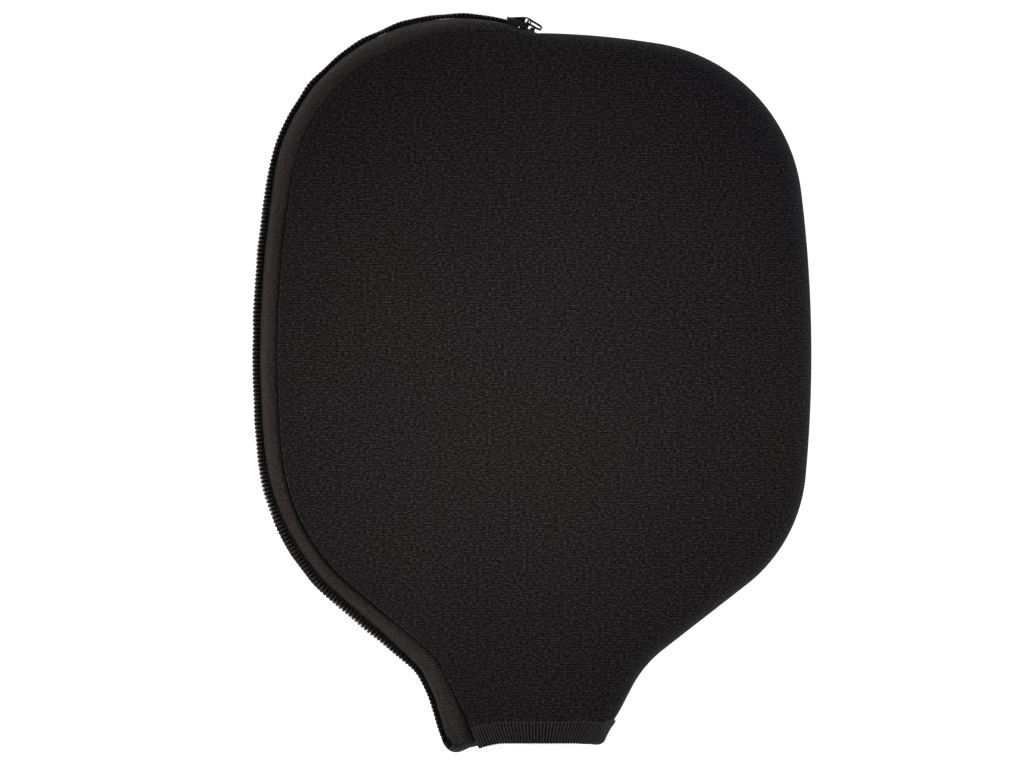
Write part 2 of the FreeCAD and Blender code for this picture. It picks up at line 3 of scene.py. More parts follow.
import bmesh
import bpy
import numpy as np
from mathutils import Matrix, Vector, kdtree, noise


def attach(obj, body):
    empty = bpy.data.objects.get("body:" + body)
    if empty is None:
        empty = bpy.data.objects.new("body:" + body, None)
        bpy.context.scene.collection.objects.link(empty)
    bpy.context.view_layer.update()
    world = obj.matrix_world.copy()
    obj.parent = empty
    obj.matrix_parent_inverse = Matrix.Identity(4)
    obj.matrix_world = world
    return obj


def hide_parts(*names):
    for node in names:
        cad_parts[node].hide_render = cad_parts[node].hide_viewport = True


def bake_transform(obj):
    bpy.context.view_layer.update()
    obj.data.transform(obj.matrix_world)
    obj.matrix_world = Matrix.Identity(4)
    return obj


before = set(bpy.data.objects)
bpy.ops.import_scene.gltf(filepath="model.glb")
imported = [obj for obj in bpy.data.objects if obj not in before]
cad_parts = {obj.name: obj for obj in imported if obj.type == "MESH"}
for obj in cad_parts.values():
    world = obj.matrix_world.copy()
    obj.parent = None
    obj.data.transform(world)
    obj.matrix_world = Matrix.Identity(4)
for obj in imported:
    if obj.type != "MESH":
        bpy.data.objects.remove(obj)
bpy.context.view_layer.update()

# All lengths are in millimetres until a mesh is made; MM turns them into metres.
# "side" is 1 for the front half and -1 for the back half.
MM = 0.001
DEPTH = 20.0
MIDDLE = DEPTH / 2
WALL = 3.0
ROUND = 9.7
HEM_LEVEL = -142.0
HEM_DEPTH = 8.0
TAPE_LEVEL = -146.0
CROWN = np.array([-29.3, 69.7])
CROWN_RADIUS = 76.8
CROWN_END = 170.4
SEWN_FROM = 70.0
RIM_INSET = 2.35
FRONT_BAND = 10.45
BACK_BAND = 5.8
SLIDER_TILT = math.radians(8)
SLIDER_ANGLE = 71.8
COIL_START = 71.4
TAPE_START = 65.4
PITCH = 1.63
FOLD_TOP = np.array([-8.0, 141.0])
FOLD_FOOT = np.array([-35.0, -142.0])
UP = np.array([0.0, 0.0, 1.0])
TO_MOUTH = np.array([0.0, -1.0, 0.0])
SPACING = 0.25
SAME_POINT = 1e-6


# -------- plan curves

def polar(angle, radius=1.0):
    turn = math.radians(angle)
    return np.array([math.cos(turn), math.sin(turn)]) * radius


def ease(value):
    """0 to 1 with a soft start and end."""
    value = np.clip(value, 0, 1)
    return value * value * (3 - 2 * value)


def eased_between(at, knots):
    """Values eased from knot to knot, where a knot is a place and a value."""
    places, values = np.array(knots, float).T
    index = np.clip(np.searchsorted(places, at) - 1, 0, len(knots) - 2)
    share = (at - places[index]) / (places[index + 1] - places[index])
    return values[index] + (values[index + 1] - values[index]) * ease(share)


def reach_along(points):
    """How far along a line each of its points lies."""
    return np.concatenate([[0], np.cumsum(np.linalg.norm(np.diff(points, axis=0), axis=1))])


def read_line(at, reach, points):
    """Points between the points of a line, at distances along it."""
    return np.stack([np.interp(at, reach, column) for column in points.T], -1)


def raised(plan, height):
    """Points in plan given a height, which is one number or one for each point."""
    return np.concatenate([plan, np.broadcast_to(height, plan.shape[:-1])[..., None]], -1)


def inward_of(heading):
    """The way to the right of a heading in plan, which is in from the outline."""
    return np.stack([heading[:, 1], -heading[:, 0]], -1)


class Curve:
    """A dense line in plan that can be read at any distance along it."""

    def __init__(self, points):
        points = np.array(points, float)
        steps = np.linalg.norm(np.diff(points, axis=0), axis=1)
        self.points = points[np.concatenate([[True], steps > SAME_POINT])]
        self.reach = np.concatenate([[0], np.cumsum(steps[steps > SAME_POINT])])
        self.length = self.reach[-1]

    def at(self, distance):
        return read_line(distance, self.reach, self.points)

    def heading(self, distance, window=0.6):
        ahead = self.at(np.minimum(distance + window, self.length))
        step = ahead - self.at(np.maximum(distance - window, 0))
        return step / np.linalg.norm(step, axis=-1, keepdims=True)


def straight(start, heading, length):
    count = max(2, int(length / SPACING))
    return [start + polar(heading, length * i / count) for i in range(1, count + 1)]


def trace(start, heading, steps, level=None):
    """Points along tangent arcs and straights, then straight on to a level; a positive sweep turns left."""
    points = [np.array(start, float)]
    for radius, sweep in steps:
        if radius is None:
            points += straight(points[-1], heading, sweep)
            continue
        side = math.copysign(90, sweep)
        centre = points[-1] + polar(heading + side, radius)
        count = max(2, int(math.radians(abs(sweep)) * radius / SPACING))
        for i in range(1, count + 1):
            points.append(centre + polar(heading + sweep * i / count - side, radius))
        heading += sweep
    if level is not None:
        rest = (level - points[-1][1]) / math.sin(math.radians(heading))
        points += straight(points[-1], heading, rest)
    return points


def zip_line(inset, level, first_angle):
    """The zipper's side: crown, flank, shoulder and neck, inset from the outermost line."""
    start = CROWN + polar(first_angle, CROWN_RADIUS - inset)
    steps = [
        (CROWN_RADIUS - inset, CROWN_END - first_angle),
        (428.0 - inset, 15.0),
        (88.0 - inset, 44.7),
        (None, 38.3),
        (14.3 + inset, -24.0),
    ]
    return trace(start, first_angle + 90, steps, level)


def sewn_line(inset, level):
    """The sewn side: top, shoulder, flank, lower shoulder and neck, inset from the rim."""
    start = CROWN + polar(SEWN_FROM, CROWN_RADIUS - RIM_INSET - inset)
    steps = [
        (20.0 + inset, 19.2),
        (326.0 - inset, -8.4),
        (67.8 - inset, -73.6),
        (516.0 - inset, -12.6),
        (61.7 - inset, -46.7),
        (None, 41.8),
        (45.0 + inset, 25.0),
    ]
    return trace(start, SEWN_FROM - 90, steps, level)


def tape_seam(band, leave, ease_steps):
    """A tape's seam from beyond the end of the zipper at the top, down to the mouth."""
    down = zip_line(band, HEM_LEVEL, leave)
    start = CROWN + polar(leave, CROWN_RADIUS - band)
    crest = trace(start, leave - 90, ease_steps + [(None, CREST_RUN)])
    return np.array([p for p in crest if p[0] < CREST_TO][::-1] + down)


BEYOND = 12.0
CREST_RUN = 60.0
CREST_TO = 8.0
RIM_END = HEM_LEVEL - BEYOND
RIM = np.vstack([zip_line(RIM_INSET, RIM_END, SEWN_FROM)[::-1], sewn_line(0, RIM_END)[1:]])
SEWN = Curve(sewn_line(0, HEM_LEVEL))
TAPE_LINE = Curve(zip_line(RIM_INSET, TAPE_LEVEL, TAPE_START))
FRONT_SEAM = tape_seam(FRONT_BAND, 125.0, [(84.6, -35.0)])
BACK_SEAM = tape_seam(BACK_BAND, 85.0, [])


def tree_of(points):
    tree = kdtree.KDTree(len(points))
    for index, point in enumerate(points):
        tree.insert((point[0], point[1], 0), index)
    tree.balance()
    return tree


RIM_TREE = tree_of(RIM)


def rim_distance(points):
    """How far in from the fabric's rim each point lies."""
    flat = points.reshape(-1, 2)
    near = np.array([RIM_TREE.find((p[0], p[1], 0))[1] for p in flat])
    best = np.full(len(flat), np.inf)
    for side in (-1, 1):
        first = RIM[near]
        step = RIM[np.clip(near + side, 0, len(RIM) - 1)] - first
        square = np.maximum((step ** 2).sum(1), SAME_POINT ** 2)
        share = np.clip(((flat - first) * step).sum(1) / square, 0, 1)
        best = np.minimum(best, np.linalg.norm(flat - first - step * share[:, None], axis=1))
    return best.reshape(points.shape[:-1])


# -------- mesh helpers

def rework(mesh, change):
    work = bmesh.new()
    work.from_mesh(mesh)
    change(work)
    work.to_mesh(mesh)
    work.free()


def turn_outward(work):
    if work.calc_volume(signed=True) < 0:
        bmesh.ops.reverse_faces(work, faces=work.faces)


def new_object(name, vertices, faces, material):
    """A closed mesh with its faces turned outward."""
    mesh = bpy.data.meshes.new(name)
    mesh.from_pydata((np.array(vertices, float) * MM).tolist(), [], faces)
    piece = bpy.data.objects.new(name, mesh)
    bpy.context.scene.collection.objects.link(piece)
    mesh.materials.append(material)
    rework(mesh, turn_outward)
    mesh.polygons.foreach_set("use_smooth", [True] * len(mesh.polygons))
    return piece


def settle(piece, nodes, body):
    """Hides the CAD nodes the piece stands for and attaches it to its body; a bending piece is only baked
    in place.
    """
    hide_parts(*nodes)
    if body == "bending":
        bend_with_front(piece)
    else:
        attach(piece, body)


def bend_with_front(piece):
    """Bakes the piece's transform into its mesh; the direction along the fold is worked out but not used,
    so nothing turns with the flap.
    """
    along = FOLD_TOP - FOLD_FOOT
    along /= np.linalg.norm(along)
    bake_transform(piece)


def add_uv(piece, uv):
    """One UV per vertex, in millimetres of cloth."""
    layer = piece.data.uv_layers.new(name="cloth")
    loops = np.empty(len(piece.data.loops), np.int32)
    piece.data.loops.foreach_get("vertex_index", loops)
    layer.data.foreach_set("uv", np.array(uv, np.float32)[loops].ravel())


def grid_faces(rows, columns, closed=False, first=0):
    """Quads over a grid of rows by columns; closed joins the last column to the first."""
    across = np.arange(columns if closed else columns - 1)
    row, column = np.meshgrid(np.arange(rows - 1), across, indexing="ij")
    a = first + row * columns + column
    b = first + row * columns + (column + 1) % columns
    return np.stack([a, b, b + columns, a + columns], -1).reshape(-1, 4).tolist()


def shell(outer, inner):
    """Two grids back to back: their vertices, the faces of each, and the faces that close three edges."""
    rows, columns = outer.shape[:2]
    size = rows * columns
    vertices = np.vstack([outer.reshape(-1, 3), inner.reshape(-1, 3)])
    inside = [(d, c, b, a) for a, b, c, d in grid_faces(rows, columns, first=size)]
    rim = []
    for a in range(0, size - columns, columns):
        b = a + columns - 1
        rim.append((a, a + columns, size + a + columns, size + a))
        rim.append((b, size + b, size + b + columns, b + columns))
    rim += [(a, size + a, size + a + 1, a + 1) for a in range(columns - 1)]
    return vertices, grid_faces(rows, columns), inside, rim


def assign(thing, values):
    for name, value in values.items():
        setattr(thing, name, value)


def modify(piece, kind, **values):
    """Adds a modifier to the piece and applies it."""
    assign(piece.modifiers.new(kind, kind), values)
    bpy.context.view_layer.update()
    evaluated = piece.evaluated_get(bpy.context.evaluated_depsgraph_get())
    mesh = bpy.data.meshes.new_from_object(evaluated)
    piece.modifiers.clear()
    piece.data = mesh


def round_profile(radius, sides):
    turn = np.arange(sides) * 2 * np.pi / sides
    return np.stack([np.cos(turn), np.sin(turn)], -1) * radius


def strip_profile(width, thick, sides=16):
    """A rectangle with well rounded corners."""
    circle = round_profile(1, sides)
    return np.sign(circle) * np.abs(circle) ** 0.45 * np.array([width, thick]) / 2


def carried_sides(along):
    """A side direction for each point of a path, carried along without twist."""
    guess = np.array([0.31, 0.17, 0.93])
    side = np.cross(along[0], guess)
    sides = [side / np.linalg.norm(side)]
    for direction in along[1:]:
        side = sides[-1] - direction * np.dot(sides[-1], direction)
        sides.append(side / np.linalg.norm(side))
    return np.array(sides)


def sweep(paths, profile, closed=False, flat_side=None):
    """Vertices and faces of a profile carried along paths of 3-D points."""
    meshes = []
    sides = len(profile)
    for path in paths:
        path = np.array(path, float)
        ahead = np.roll(path, -1, 0)
        behind = np.roll(path, 1, 0)
        if not closed:
            ahead[-1] = path[-1]
            behind[0] = path[0]
        along = ahead - behind
        along /= np.linalg.norm(along, axis=1, keepdims=True)
        side = carried_sides(along) if flat_side is None else np.tile(flat_side, (len(path), 1))
        other = np.cross(along, side)
        rings = path[:, None] + side[:, None] * profile[None, :, :1] + other[:, None] * profile[None, :, 1:]
        faces = grid_faces(len(path), sides, closed=True)
        last = (len(path) - 1) * sides
        if closed:
            faces += [(last + k, last + (k + 1) % sides, (k + 1) % sides, k) for k in range(sides)]
        else:
            faces += [range(sides)[::-1], range(last, last + sides)]
        meshes.append((rings.reshape(-1, 3), faces))
    return joined(meshes)


def yarn(paths, radius):
    """A round thread or wire along each path."""
    return sweep(paths, round_profile(radius, 6))


def joined(meshes):
    """Several pairs of vertices and faces as one pair."""
    vertices = []
    faces = []
    base = 0
    for points, polygons in meshes:
        vertices.append(points)
        faces += [tuple(base + v for v in face) for face in polygons]
        base += len(points)
    return np.vstack(vertices), faces


def smooth_path(points, parts):
    """A Catmull-Rom line through a few points."""
    points = np.array(points, float)
    padded = np.vstack([2 * points[0] - points[1], points, 2 * points[-1] - points[-2]])
    line = []
    for i in range(len(points) - 1):
        a, b, c, d = padded[i:i + 4]
        for k in range(parts):
            t = k / parts
            line.append(0.5 * (2 * b + (c - a) * t + (2 * a - 5 * b + 4 * c - d) * t ** 2
                               + (3 * b - a - 3 * c + d) * t ** 3))
    line.append(points[-1])
    return np.array(line)


# -------- materials

class Graph:
    """Short calls for the nodes of one material."""

    def __init__(self, name):
        self.material = bpy.data.materials.new(name)
        self.material.use_nodes = True
        self.tree = self.material.node_tree
        self.shader = self.tree.nodes["Principled BSDF"]

    def set(self, **values):
        for socket, value in values.items():
            self.shader.inputs[socket.replace("_", " ")].default_value = value

    def join(self, output, socket):
        self.tree.links.new(output, self.shader.inputs[socket])

    def node(self, kind, output, inputs, **settings):
        """A new node's output, its inputs linked where the value is a socket and set where it isn't."""
        node = self.tree.nodes.new("ShaderNode" + kind)
        assign(node, settings)
        for name, value in inputs.items():
            if isinstance(value, bpy.types.NodeSocket):
                self.tree.links.new(value, node.inputs[name])
            else:
                node.inputs[name].default_value = value
        return node.outputs[output]

    def place(self):
        return self.node("TexCoord", "Object", {})

    def cloth(self):
        return self.node("UVMap", "UV", {}, uv_map="cloth")

    def split(self, vector):
        x = self.node("SeparateXYZ", "X", {"Vector": vector})
        return x, x.node.outputs["Y"]

    def scaled(self, vector, scale):
        return self.node("Mapping", "Vector", {"Scale": scale, "Vector": vector})

    def math(self, operation, first, second=0.5):
        return self.node("Math", 0, {0: first, 1: second}, operation=operation)

    def add(self, first, *others):
        for term in others:
            first = self.math("ADD", first, term)
        return first

    def times(self, value, factor):
        return self.math("MULTIPLY", value, factor)

    def blend(self, *terms):
        """The sum of some values, each with its weight."""
        return self.add(*[self.times(value, weight) for value, weight in terms])

    def wave(self, value, period):
        return self.math("SINE", self.times(value, 2 * math.pi / period))

    def noise(self, vector, scale, detail=2.0, roughness=0.5):
        return self.node("TexNoise", "Fac", {"Scale": scale, "Detail": detail, "Roughness": roughness,
                                             "Vector": vector})

    def ramp(self, factor, stops):
        colour = self.node("ValToRGB", "Color", {"Fac": factor})
        elements = colour.node.color_ramp.elements
        while len(elements) < len(stops):
            elements.new(0.5)
        for element, (position, shown) in zip(elements, stops):
            element.position = position
            element.color = (*shown, 1)
        return colour

    def eased(self, value, low, high):
        """0 up to low and 1 from high on, soft between."""
        limits = {"From Min": low, "From Max": high, "Value": value}
        return self.node("MapRange", "Result", limits, interpolation_type="SMOOTHSTEP")

    def multiply(self, first, second, share=1.0):
        inputs = {"Factor": share, "A": first, "B": second}
        return self.node("Mix", "Result", inputs, data_type="RGBA", blend_type="MULTIPLY")

    def bump(self, height, strength, distance):
        inputs = {"Strength": strength, "Distance": distance, "Height": height}
        self.join(self.node("Bump", "Normal", inputs), "Normal")

    def rough(self, factor, low, high):
        limits = {"To Min": low, "To Max": high, "Value": factor}
        self.join(self.node("MapRange", "Result", limits), "Roughness")


def shades(colour, stops):
    """Stops of a ramp, each a place and how bright the colour is there."""
    return [(place, tuple(c * bright for c in colour)) for place, bright in stops]


WHITE = (1.0, 1.0, 1.0)
WARM = (1.08, 1.0, 0.97)
COOL = (0.98, 0.98, 1.05)
LINING_BRIGHT = 1.5
JERSEY = (0.0112, 0.0102, 0.0104)


def knit_material(name, colour):
    """Fine jersey laminated on foam: tiny loops in ribs, matte, with a little lint."""
    graph = Graph(name)
    cloth = graph.cloth()
    along, across = graph.split(cloth)
    wobble = graph.noise(cloth, 0.25, 3.0)
    ways = ((along, 0.8, 0.62), (across, 0.6, 0.5), (across, 1.2, 1.1))
    wale, course, rib = (graph.wave(graph.add(way, graph.times(wobble, sway)), period)
                         for way, sway, period in ways)
    loops = graph.math("MULTIPLY", wale, course)
    grain = graph.noise(graph.scaled(cloth, (0.65, 1.15, 1.0)), 1.25, 1.0, 0.5)
    speckle = graph.noise(cloth, 2.4, 1.0)
    patch = graph.noise(cloth, 0.014, 1.0)
    tone = graph.blend((grain, 0.55), (speckle, 0.45), (rib, 0.03), (graph.add(patch, -0.5), 0.03))
    stops = shades(colour, [(0.36, 0.1), (0.45, 0.55), (0.53, 1.5), (0.62, 3.2), (0.72, 5.5)])
    tint = graph.ramp(patch, [(0.25, COOL), (0.75, WARM)])
    graph.join(graph.multiply(graph.ramp(tone, stops), tint), "Base Color")
    graph.bump(graph.add(graph.times(loops, 0.3), grain, graph.times(rib, 0.15)), 0.5, 0.00022)
    graph.set(Roughness=0.9, Specular_IOR_Level=0.12, Sheen_Weight=0.03, Sheen_Roughness=0.5)
    return graph.material


def tape_material(name, colour):
    """Woven zipper tape: a fine herringbone twill, with painted shade darkening its sides near the mouth
    and its tip.
    """
    graph = Graph(name)
    cloth = graph.cloth()
    along, across = graph.split(cloth)
    zigzag = graph.math("PINGPONG", across, 2.2)
    twill = graph.wave(graph.add(along, graph.times(zigzag, 1.0)), 1.15)
    warp = graph.wave(across, 0.55)
    weave = graph.add(twill, graph.times(warp, 0.5))
    grain = graph.noise(graph.scaled(cloth, (1.5, 0.8, 1.0)), 1.3, 2.0, 0.6)
    patch = graph.noise(graph.scaled(cloth, (0.05, 0.2, 1.0)), 1.0, 2.0)
    tone = graph.blend((weave, 0.15), (grain, 0.85), (patch, 0.15))
    colours = graph.ramp(tone, shades(colour, [(0.3, 0.3), (0.46, 0.9), (0.6, 1.9), (0.75, 4.5)]))
    # painted shade: the tape's sides beside its ridge turn darker near the mouth, in place of shadow
    sides = graph.ramp(graph.times(across, 1 / 20),
                       shades(WHITE, [(0.42, 0.3), (0.53, 1.0), (0.68, 1.0), (0.78, 0.35)]))
    # painted shade: the tape turns darker over its last stretch to the tip
    tip_painted_shade = graph.ramp(graph.times(along, 1 / 400), shades(WHITE, [(0.955, 1.0), (0.972, 0.4)]))
    side_painted_shade = graph.multiply(colours, sides, graph.eased(along, 325, 355))
    graph.join(graph.multiply(side_painted_shade, tip_painted_shade), "Base Color")
    graph.bump(graph.add(weave, grain), 0.6, 0.0003)
    graph.set(Roughness=0.68, Specular_IOR_Level=0.22, Sheen_Weight=0.04)
    return graph.material


def nylon_material(name, colour):
    """Nylon monofilament: smooth and glossy, with faint drawing marks."""
    graph = Graph(name)
    marks = graph.noise(graph.place(), 900.0, 3.0)
    graph.join(graph.ramp(marks, shades(colour, [(0.3, 0.5), (0.7, 1.6)])), "Base Color")
    graph.rough(marks, 0.3, 0.42)
    graph.bump(marks, 0.15, 0.00005)
    graph.set(Specular_IOR_Level=0.09)
    return graph.material


def thread_material(name, colour, shine):
    """Spun polyester thread: fine twist lines and a dry sheen."""
    graph = Graph(name)
    twist = graph.node("TexWave", "Fac", {"Scale": 700.0, "Distortion": 3.0, "Vector": graph.place()})
    fibres = graph.noise(graph.place(), 1400.0, 2.0)
    tone = graph.blend((twist, 0.5), (fibres, 0.5))
    graph.join(graph.ramp(tone, shades(colour, [(0.3, 0.5), (0.75, 2.0)])), "Base Color")
    graph.bump(tone, 0.5, 0.0001)
    graph.set(Roughness=0.6, Specular_IOR_Level=shine)
    return graph.material


def enamel_material(name, colour):
    """Black enamel on die cast metal, worn a little brighter in spots."""
    graph = Graph(name)
    wear = graph.noise(graph.place(), 500.0, 4.0, 0.6)
    graph.join(graph.ramp(wear, shades(colour, [(0.45, 1.0), (0.72, 4.0)])), "Base Color")
    graph.rough(wear, 0.34, 0.55)
    graph.bump(wear, 0.2, 0.00005)
    graph.set(Metallic=0.05, Specular_IOR_Level=0.16)
    return graph.material


KNIT = knit_material("black_jersey", JERSEY)
LINING = knit_material("black_lining", tuple(c * LINING_BRIGHT for c in JERSEY))
TAPE = tape_material("black_tape", (0.0205, 0.0164, 0.0146))
# one black nylon in two copies: the front row's is the lit copy, the back row's is darker only as painted
# shade, since the lower row lies in shade
NYLON = nylon_material("black_nylon", (0.0205, 0.0192, 0.0188))
SHADED_NYLON = nylon_material("shaded_nylon", (0.0032, 0.003, 0.003))
THREAD = thread_material("black_thread", (0.0022, 0.0021, 0.0022), 0.06)
COIL_THREAD = thread_material("zipper_thread", (0.0022, 0.002, 0.002), 0.06)
HEM_YARN = thread_material("hem_thread", (0.036, 0.033, 0.0335), 0.3)
ENAMEL = enamel_material("slider_enamel", (0.0022, 0.0022, 0.0023))


# -------- panels

ROWS = 330
ROUND_COLUMNS = 16
INSIDE_COLUMNS = 96
RING_WIDTH = 10.2
EDGE_ROLL = 2.4
EDGE_DROP = 1.7
EDGE_HALF = 0.03
SEAM_THIN = 1.2
THIN_COLUMNS = 5
GROOVE = 1.1
GROOVE_ANGLE = 14.0
JOIN_FROM = -15.0
JOIN_EASE = 9.0
SEAM_FADE = 16.0
MOUTH_TURN = 24.0
MOUTH_EASE = 14.0
MOUTH_SAG = 2.5
SAG_FROM = -11.0
SAG_EASE = 15.0
MOUTH_CORNER = 2.8
MOUTH_CORNER_X = SEWN.points[-1][0] + 0.05
MOUTH_CORNER_LOW = 0.7
CORNER_LOW_FROM = 22.0
CORNER_LOW_EASE = 7.0
HEM_PRESS = 0.5
LIP = 3.2
LIP_THICK = 2.4
LINING_GAP = 0.12
LINING_UV = 400
WELD = 0.015
SWELL = 0.5
# how high, how wide, and the seed of each soft unevenness of the front
SWELLS = [(0.55, 55, 1.7), (0.18, 17, 4.2)]


def panel_edge(seam):
    """A panel's edge up the tape seam and down the sewn rim, and the distance along it where they join."""
    gaps = rim_distance(seam)
    crest = np.nonzero(seam[:, 0] > JOIN_FROM)[0]
    join = crest[np.argmin(gaps[crest])]
    up = seam[join:][::-1]
    nearest = np.argmin(np.linalg.norm(SEWN.points - seam[join], axis=1))
    whole = Curve(np.vstack([up, SEWN.points[nearest + 1:]]))
    top = Curve(up).length
    spots = np.linspace(0, whole.length, int(whole.length / SPACING))
    even = whole.at(spots)
    width = int(JOIN_EASE / SPACING)
    kernel = np.ones(width) / width
    smooth = np.stack([np.convolve(np.pad(column, width, "edge"), kernel, "same")[width:-width]
                       for column in even.T], -1)
    weight = np.exp(-((spots - top) / JOIN_EASE) ** 2)[:, None]
    return Curve(even * (1 - weight) + smooth * weight), top


def fullness(points, inward):
    """A slight swell of the front over the pocket, with soft unevenness."""
    swell = np.array([SWELL + sum(high * noise.noise(Vector((x / wide, y / wide, seed)))
                                  for high, wide, seed in SWELLS)
                      for x, y in points.reshape(-1, 2)]).reshape(points.shape[:-1])
    return ease((inward - 4) / 30) * swell


def mouth_sag(x):
    """The mouth's edge hangs lower towards the end of the zipper, and its sewn corner is rounded off."""
    into = np.clip(x - (MOUTH_CORNER_X - MOUTH_CORNER), 0, MOUTH_CORNER)
    rounded = MOUTH_CORNER - np.sqrt(MOUTH_CORNER ** 2 - into ** 2)
    sag = MOUTH_SAG * ease((SAG_FROM - x) / SAG_EASE)
    return rounded - sag - MOUTH_CORNER_LOW * ease((x - CORNER_LOW_FROM) / CORNER_LOW_EASE)


class Panel:
    """One foamed panel as a grid: its outer face, its lining, and its normals."""

    def __init__(self, seam, side):
        self.side = side
        edge, top = panel_edge(seam)
        shares = np.linspace(0, 1, ROWS)
        left_at = shares * top
        right_at = edge.length - shares * (edge.length - top)
        left, left_in = self.inward(edge, left_at, 1)
        right, right_in = self.inward(edge, right_at, -1)
        angles = np.linspace(0, np.pi / 2, ROUND_COLUMNS + 1)
        offsets = np.append(ROUND * (1 - np.cos(angles)), RING_WIDTH)
        arcs = np.append(ROUND * angles, ROUND * np.pi / 2 + RING_WIDTH - ROUND)
        self.ring = len(offsets)
        left_ring = left[:, None] + left_in[:, None] * offsets[:, None]
        right_ring = (right[:, None] + right_in[:, None] * offsets[:, None])[:, ::-1]
        part = np.linspace(0, 1, INSIDE_COLUMNS + 1)[1:-1, None]
        inside = left_ring[:, -1:] * (1 - part) + right_ring[:, :1] * part
        plan = np.concatenate([left_ring, inside, right_ring], 1)
        gaps = rim_distance(plan)
        cos = np.clip(1 - gaps / ROUND, 0, 1)
        sin = np.sqrt(1 - cos ** 2)
        turn = np.degrees(np.arccos(cos))
        dip = GROOVE * (np.maximum(GROOVE_ANGLE - turn, 0) / GROOVE_ANGLE) ** 2
        seam_share = ease((top - left_at) / SEAM_FADE)[:, None]
        dip[:, :self.ring] += seam_share * EDGE_DROP * (1 - np.minimum(offsets / EDGE_ROLL, 1)) ** 2.2
        height = (ROUND - dip) * sin + (MIDDLE - ROUND) * np.minimum(gaps / ROUND, 1)
        if side > 0:
            height += fullness(plan, gaps)
        pull_in = (dip * cos)[..., None]
        plan[:, :self.ring] += pull_in[:, :self.ring] * left_in[:, None]
        plan[:, -self.ring:] += pull_in[:, -self.ring:] * right_in[:, None]
        above_hem = plan[..., 1] - HEM_LEVEL
        height -= HEM_PRESS * ease((HEM_DEPTH + 0.6 - above_hem) / 1.2) * sin
        plan[..., 1] += ease((MOUTH_EASE - above_hem) / MOUTH_EASE) * mouth_sag(plan[..., 0])
        z = MIDDLE + side * np.maximum(height, EDGE_HALF)
        lip = raised(right + right_in * LIP, MIDDLE + side * EDGE_HALF)
        self.outer = np.concatenate([raised(plan, z), lip[:, None]], 1)
        flat_left = left_ring[:, -1:] - left_in[:, None] * (arcs[-1] - arcs)[:, None]
        flat_right = right_ring[:, :1] - right_in[:, None] * (arcs[-1] - arcs[::-1])[:, None]
        flat_lip = flat_right[:, -1:] - right_in[:, None] * LIP
        self.cloth = np.concatenate([flat_left, inside, flat_right, flat_lip], 1)
        self.columns = self.outer.shape[1]
        self.normal = self.find_normals(left_in, right_in, cos)
        self.inner = self.find_inner(seam_share[..., None])

    @staticmethod
    def inward(edge, at, level_side):
        """Points of the edge, and the way in from them, which turns level near the mouth."""
        points = edge.at(at)
        level = ease((MOUTH_TURN - (points[:, 1] - HEM_LEVEL)) / MOUTH_TURN)[:, None]
        way = inward_of(edge.heading(at)) * (1 - level) + np.array([level_side, 0.0]) * level
        return points, way / np.linalg.norm(way, axis=1, keepdims=True)

    def find_normals(self, left_in, right_in, cos):
        """The way out of the surface: flat inside, turning outward over the rim."""
        inward = np.zeros((ROWS, cos.shape[1], 3))
        inward[:, :self.ring, :2] = left_in[:, None]
        inward[:, -self.ring:, :2] = right_in[:, None]
        sin = np.sqrt(1 - cos ** 2)
        normal = UP * self.side * sin[..., None] - inward * cos[..., None]
        return np.concatenate([normal, normal[:, -1:]], 1)

    def find_inner(self, seam_share):
        """The lining: a wall's thickness in, thin at the tape seam, and a lip at the sewn rim."""
        depth = -self.normal * WALL
        depth[:, -1] = UP * self.side * LIP_THICK
        depth[:, -2] = (depth[:, -1] + depth[:, -3]) / 2
        left = depth[:, :self.ring].copy()
        left[:, :THIN_COLUMNS] *= np.linspace(SEAM_THIN / WALL, 1, THIN_COLUMNS)[:, None]
        joined_edge = depth[-1, -2:-2 - self.ring:-1]
        depth[:, :self.ring] = left * seam_share + joined_edge * (1 - seam_share)
        inner = self.outer + depth
        inner[..., 2] = MIDDLE + self.side * np.maximum((inner[..., 2] - MIDDLE) * self.side, LINING_GAP)
        inner[0, :, 1] = self.outer[0, :, 1]
        return inner


def cover(label, panel, nodes, body):
    """A panel's outer face, its lining and its closed edges as one piece."""
    vertices, outside, inside, rim = shell(panel.outer, panel.inner)
    size = len(vertices) // 2
    end = size - 1
    rim.append((end - 1, size + end - 1, size + end, end))
    piece = new_object(label + "_cover", vertices, outside + inside + rim, KNIT)
    piece.data.materials.append(LINING)
    slots = [0] * len(outside) + [1] * len(inside) + [0] * len(rim)
    piece.data.polygons.foreach_set("material_index", slots)
    flat = panel.cloth.reshape(-1, 2)
    add_uv(piece, np.vstack([flat, flat + LINING_UV]))
    modify(piece, "WELD", merge_threshold=WELD * MM)
    settle(piece, nodes, body)


FRONT = Panel(FRONT_SEAM, 1)
BACK = Panel(BACK_SEAM, -1)
cover("front", FRONT, ["front_panel", "front_flap_panel"], "bending")
cover("back", BACK, ["back_panel"], "case")


# -------- zipper

COIL_HIGH = 2.07
COIL_HALF = 2.6
TAPE_EDGE = 1.05
TAPE_FLAT = 2.75
TAPE_THICK = 0.7
TAPE_DIP = 2.3
TAPE_COLUMNS = 26
TAPE_STEP = 0.9
RIDGE = {1: 0.95, -1: 0.45}
RIDGE_ROUGH = 0.14
RIDGE_WAVE = 0.2
ALLOWANCE_COLUMNS = 5
ALLOWANCE_STEP = 0.8
ALLOWANCE_SINK = 1.3
FOOT_FOLD = 4.0
FOLD_EDGE = 0.05
FOOT_LIFT = 2.0
CORNER = 5.0
CORNER_ROWS = 12
CLOSED_LIFT = 1.3
COIL_SHORT = 5.6
# distance from the closed end, and how much of the lift the tapes have there
CLOSED_SHAPE = [(0, 0.15), (1.6, 1.0), (3.2, 1.0), (6.5, 0.0)]
# distance along the zipper from its closed end, and how far the chain's face turns up to the front
TURNS = [(0, 6), (70, 9), (122, 13), (155, 23), (200, 22), (238, 24), (290, 42), (325, 36), (362, 10),
         (400, 6)]
